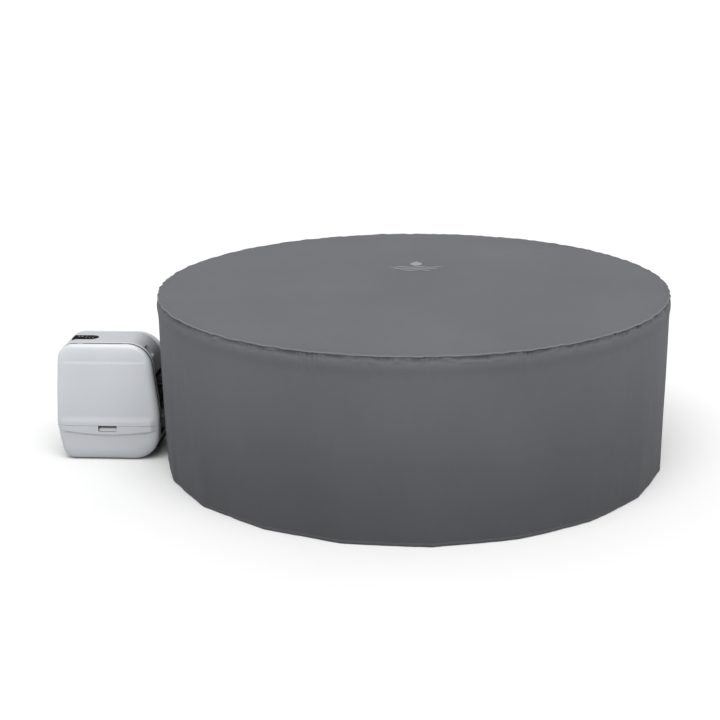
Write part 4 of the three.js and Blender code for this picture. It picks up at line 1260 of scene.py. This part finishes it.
def build_rear():
    start = REAR_START - 0.0005
    x, back, (z0, z1) = RECESS["x"], RECESS["back"], RECESS["z"]
    mesh = shell(0.0, [((0, 0, z0), (0, 0, 1))], start)
    block = box_mesh((x - WALL, start, z0), (-1.0, back + WALL, z1 + WALL))
    block = carve(block, rear_skin(0.0005, -0.05, both=True), operation="INTERSECT")
    mesh = carve(mesh, block, operation="UNION")
    opening = box_mesh((x - WALL - 0.001, -0.2, -0.01), (0.0, back, z1))
    (x0, x1), (z0, z1) = GRILLE["x"], GRILLE["z"]
    grille = box_mesh((x0, back + 0.006, z0), (x1, 0.2, z1))
    gland = rod_mesh(GLAND["radius"], 0.07, (GLAND["x"], 0.13, GLAND["z"]), (0, 1, 0))
    casing_piece("rear_skin", carve(mesh, opening, grille, gland), "rear_shell")


def build_rear_screws():
    """Recessed screws that hold the back shell, each a dark well with a steel head."""
    kinds = (("screw_wells", WELL, 28, "dark_casing"), ("screw_heads", SCREW, 24, "steel"))
    for name, profile, sides, material in kinds:
        parts = [spin_mesh("screw", profile, (x, BACK, z), (0, 1, 0), sides) for x, z in SCREWS]
        new_object(name, joined(name, parts), material, "pump")


# ---- the pump's controls and insides ----
BUTTONS = ("power", "heater", "filter", "bubbles", "temp_down", "temp_up")
BUTTON = {"radius": 0.005, "hole": 0.0054, "rise": 0.0015, "depth": 0.0095}
DIGIT = ((0, 0, 0.006, 0.0012), (0, 0.0055, 0.006, 0.0067),
         (0, 0, 0.0012, 0.0067), (0.0048, 0, 0.006, 0.0067))
# plain generic symbols: rings as x, y, radius, half width, from and to; bars as x, y, length, width and turn
RINGS = {
    "power": ((0, 0, 0.0021, 0.0003, 125, 415),),
    "bubbles": ((-0.0011, -0.0006, 0.0011, 0.00025, 0, 360), (0.0012, 0.0004, 0.0009, 0.00025, 0, 360),
                (-0.0001, 0.0018, 0.0006, 0.00025, 0, 360)),
}
BARS = {
    "power": ((0, 0.0017, 0.0006, 0.0024, 0),),
    "heater": [(x, 0, 0.0006, 0.004, 12) for x in (-0.0016, 0, 0.0016)],
    "filter": ((0, 0.0014, 0.004, 0.0006, 0), (0, 0, 0.0028, 0.0006, 0), (0, -0.0014, 0.0016, 0.0006, 0)),
    "temp_down": [(x, 0, 0.0028, 0.0006, turn) for x, turn in ((-0.00085, -45), (0.00085, 45))],
    "temp_up": [(x, 0, 0.0028, 0.0006, turn) for x, turn in ((-0.00085, 45), (0.00085, -45))],
}


def button_place(i):
    return PANEL["x"] + 0.002 + 0.015 * (i % 3), PANEL["y"] + 0.022 * (i // 3 - 0.5)


def build_display():
    top = PANEL["top"]
    places = [button_place(i) for i in range(len(BUTTONS))]
    holes = [rod_mesh(BUTTON["hole"], 0.05, (x, y, 0.45), (0, 0, 1), 32) for x, y in places]
    mesh = tidy(carve(prism_mesh(panel_outline(0.0), top - 0.008, top, 2), *holes), 2e-6)
    glass = new_object("display_glass", mesh, "display_black", "pump", replaces="control_bezel", angle=40)
    bevel_edges(glass, 0.0009, 30, harden=True)
    digits = []
    x_first, y = PANEL["x"] - 0.035, PANEL["y"] + 0.012
    for x in (x_first, x_first + 0.013):
        digits += [box_mesh((x + x0, y + y0, top - 0.0002), (x + x1, y + y1, top + 0.0002))
                   for x0, y0, x1, y1 in DIGIT]
    mesh = joined("display_digits", digits)
    new_object("display_digits", mesh, "display_mark", "pump")


def ring_mesh(x, y, z, radius, half, start, end):
    """A flat printed ring or arc."""
    rows = [[(x + r * cos(t), y + r * sin(t), z) for r in (radius - half, radius + half)]
            for t in np.radians(np.linspace(start, end, 33))]
    return thicken(grid_mesh("ring", np.array(rows)), 0.0003, inward=False)


def bar_mesh(x, y, z, length, width, turn):
    mesh = box_mesh((-length / 2, -width / 2, -0.00015), (length / 2, width / 2, 0.00015))
    mesh.transform(Matrix.Translation((x, y, z)) @ Matrix.Rotation(radians(turn), 4, "Z"))
    return mesh


def build_buttons():
    top, r = PANEL["top"] + BUTTON["rise"], BUTTON["radius"]
    bottom = top - BUTTON["depth"]
    profile = [(0, bottom), (r, bottom), (r, top - 0.0007), (r - 0.0006, top), (0, top - 0.0001)]
    for i, name in enumerate(BUTTONS):
        x, y = button_place(i)
        node, z = f"button_{name}", top + 0.0001
        mesh = spin_mesh(f"{node}_cap", profile, (x, y, 0), (0, 0, 1))
        new_object(f"{node}_cap", mesh, "display_black", node, replaces=node, angle=50)
        parts = [ring_mesh(x + dx, y + dy, z, *shape) for dx, dy, *shape in RINGS.get(name, ())]
        parts += [bar_mesh(x + dx, y + dy, z, *shape) for dx, dy, *shape in BARS.get(name, ())]
        icon = joined(f"{node}_icon", parts)
        new_object(icon.name, icon, "display_mark", node, angle=0)


DISC = ((0, 0.0), (0.060, 0.0), (0.064, -0.0005), (0.067, 0.002), (0.0665, 0.0055), (0.060, 0.007),
        (0.045, 0.0062), (0.0, 0.0062))


def disc_grips(t, r, along):
    """Thirty-six grips round the rim of the filter's lid."""
    return (r - 0.0012 * ease(0.3, 0.7, 0.5 + 0.5 * cos(36 * t)) if r >= 0.0655 else r), along


def build_filter_lid():
    x, z, front = CANISTER["x"], CANISTER["z"], CANISTER["lid"]
    disc = turned(lathe_mesh("disc", DISC, 216, disc_grips, closed=False), (x, front - 0.0005, z), (0, -1, 0))
    neck = rod_mesh(0.0575, 0.011, (x, front - 0.001, z), (0, 1, 0), 72)
    handle = box_mesh((x - 0.040, front - 0.017, z - 0.006), (x + 0.040, front - 0.006, z + 0.006), 0.0035)
    mesh = tidy(joined("filter_lid_disc", [disc, neck, handle]))
    new_object("filter_lid_disc", mesh, "dark_casing", "filter_lid", replaces="filter_lid", angle=38)


def build_heater_bands():
    band = ((0.0252, 0), (0.0268, 0), (0.0268, 0.012), (0.0252, 0.012))
    bands = [spin_mesh("band", band, (x, 0.084, 0.156), (1, 0, 0)) for x in (-1.350, -1.270, -1.180)]
    new_object("heater_bands", joined("heater_bands", bands), "black_plastic", "pump")


THREAD = ((0.0255, 0), (0.0268, 0.0009), (0.0268, 0.0015), (0.0255, 0.0024))


def build_port_threads():
    """Three turns of thread on each port, which the union nut runs on."""
    for name, (y, z) in UNIONS.items():
        coils = [turned(lathe_mesh("coil", THREAD, 48), (-1.0575 + 0.0045 * k, y, z), (1, 0, 0))
                 for k in range(3)]
        new_object(f"{name}_port_thread", joined("thread", coils), "dark_casing", "pump")


def build_pump():
    build_door()
    build_lower_front()
    build_latch()
    build_chassis()
    build_side_casing()
    build_base_pan()
    build_top_deck()
    build_rear()
    build_rear_screws()
    build_display()
    build_buttons()
    build_filter_lid()
    build_heater_bands()
    build_port_threads()
    finish_nodes("dark_casing", "intake_grille", "port_panel", "filter_canister", "suction_pipe",
                 "delivery_pipe", "air_pipe", "inlet_port", "outlet_port", "air_port", width=0.0005)
    finish_nodes("black_plastic", "cable_gland", "circulation_pump", "air_blower", width=0.0008)
    finish_nodes("steel", "door_hinge_pin", "heater_vessel", width=0.0006)
    finish_nodes("filter_paper", "filter_cartridge", width=0.0004)
    finish_nodes("circuit_board", "control_board", width=0.0004)
    finish_nodes("foot_rubber", *[f"pump_foot_{i}" for i in range(1, 5)], width=0.001)


add_camera()
add_stage()
build_cover()
build_tub()
build_pump()
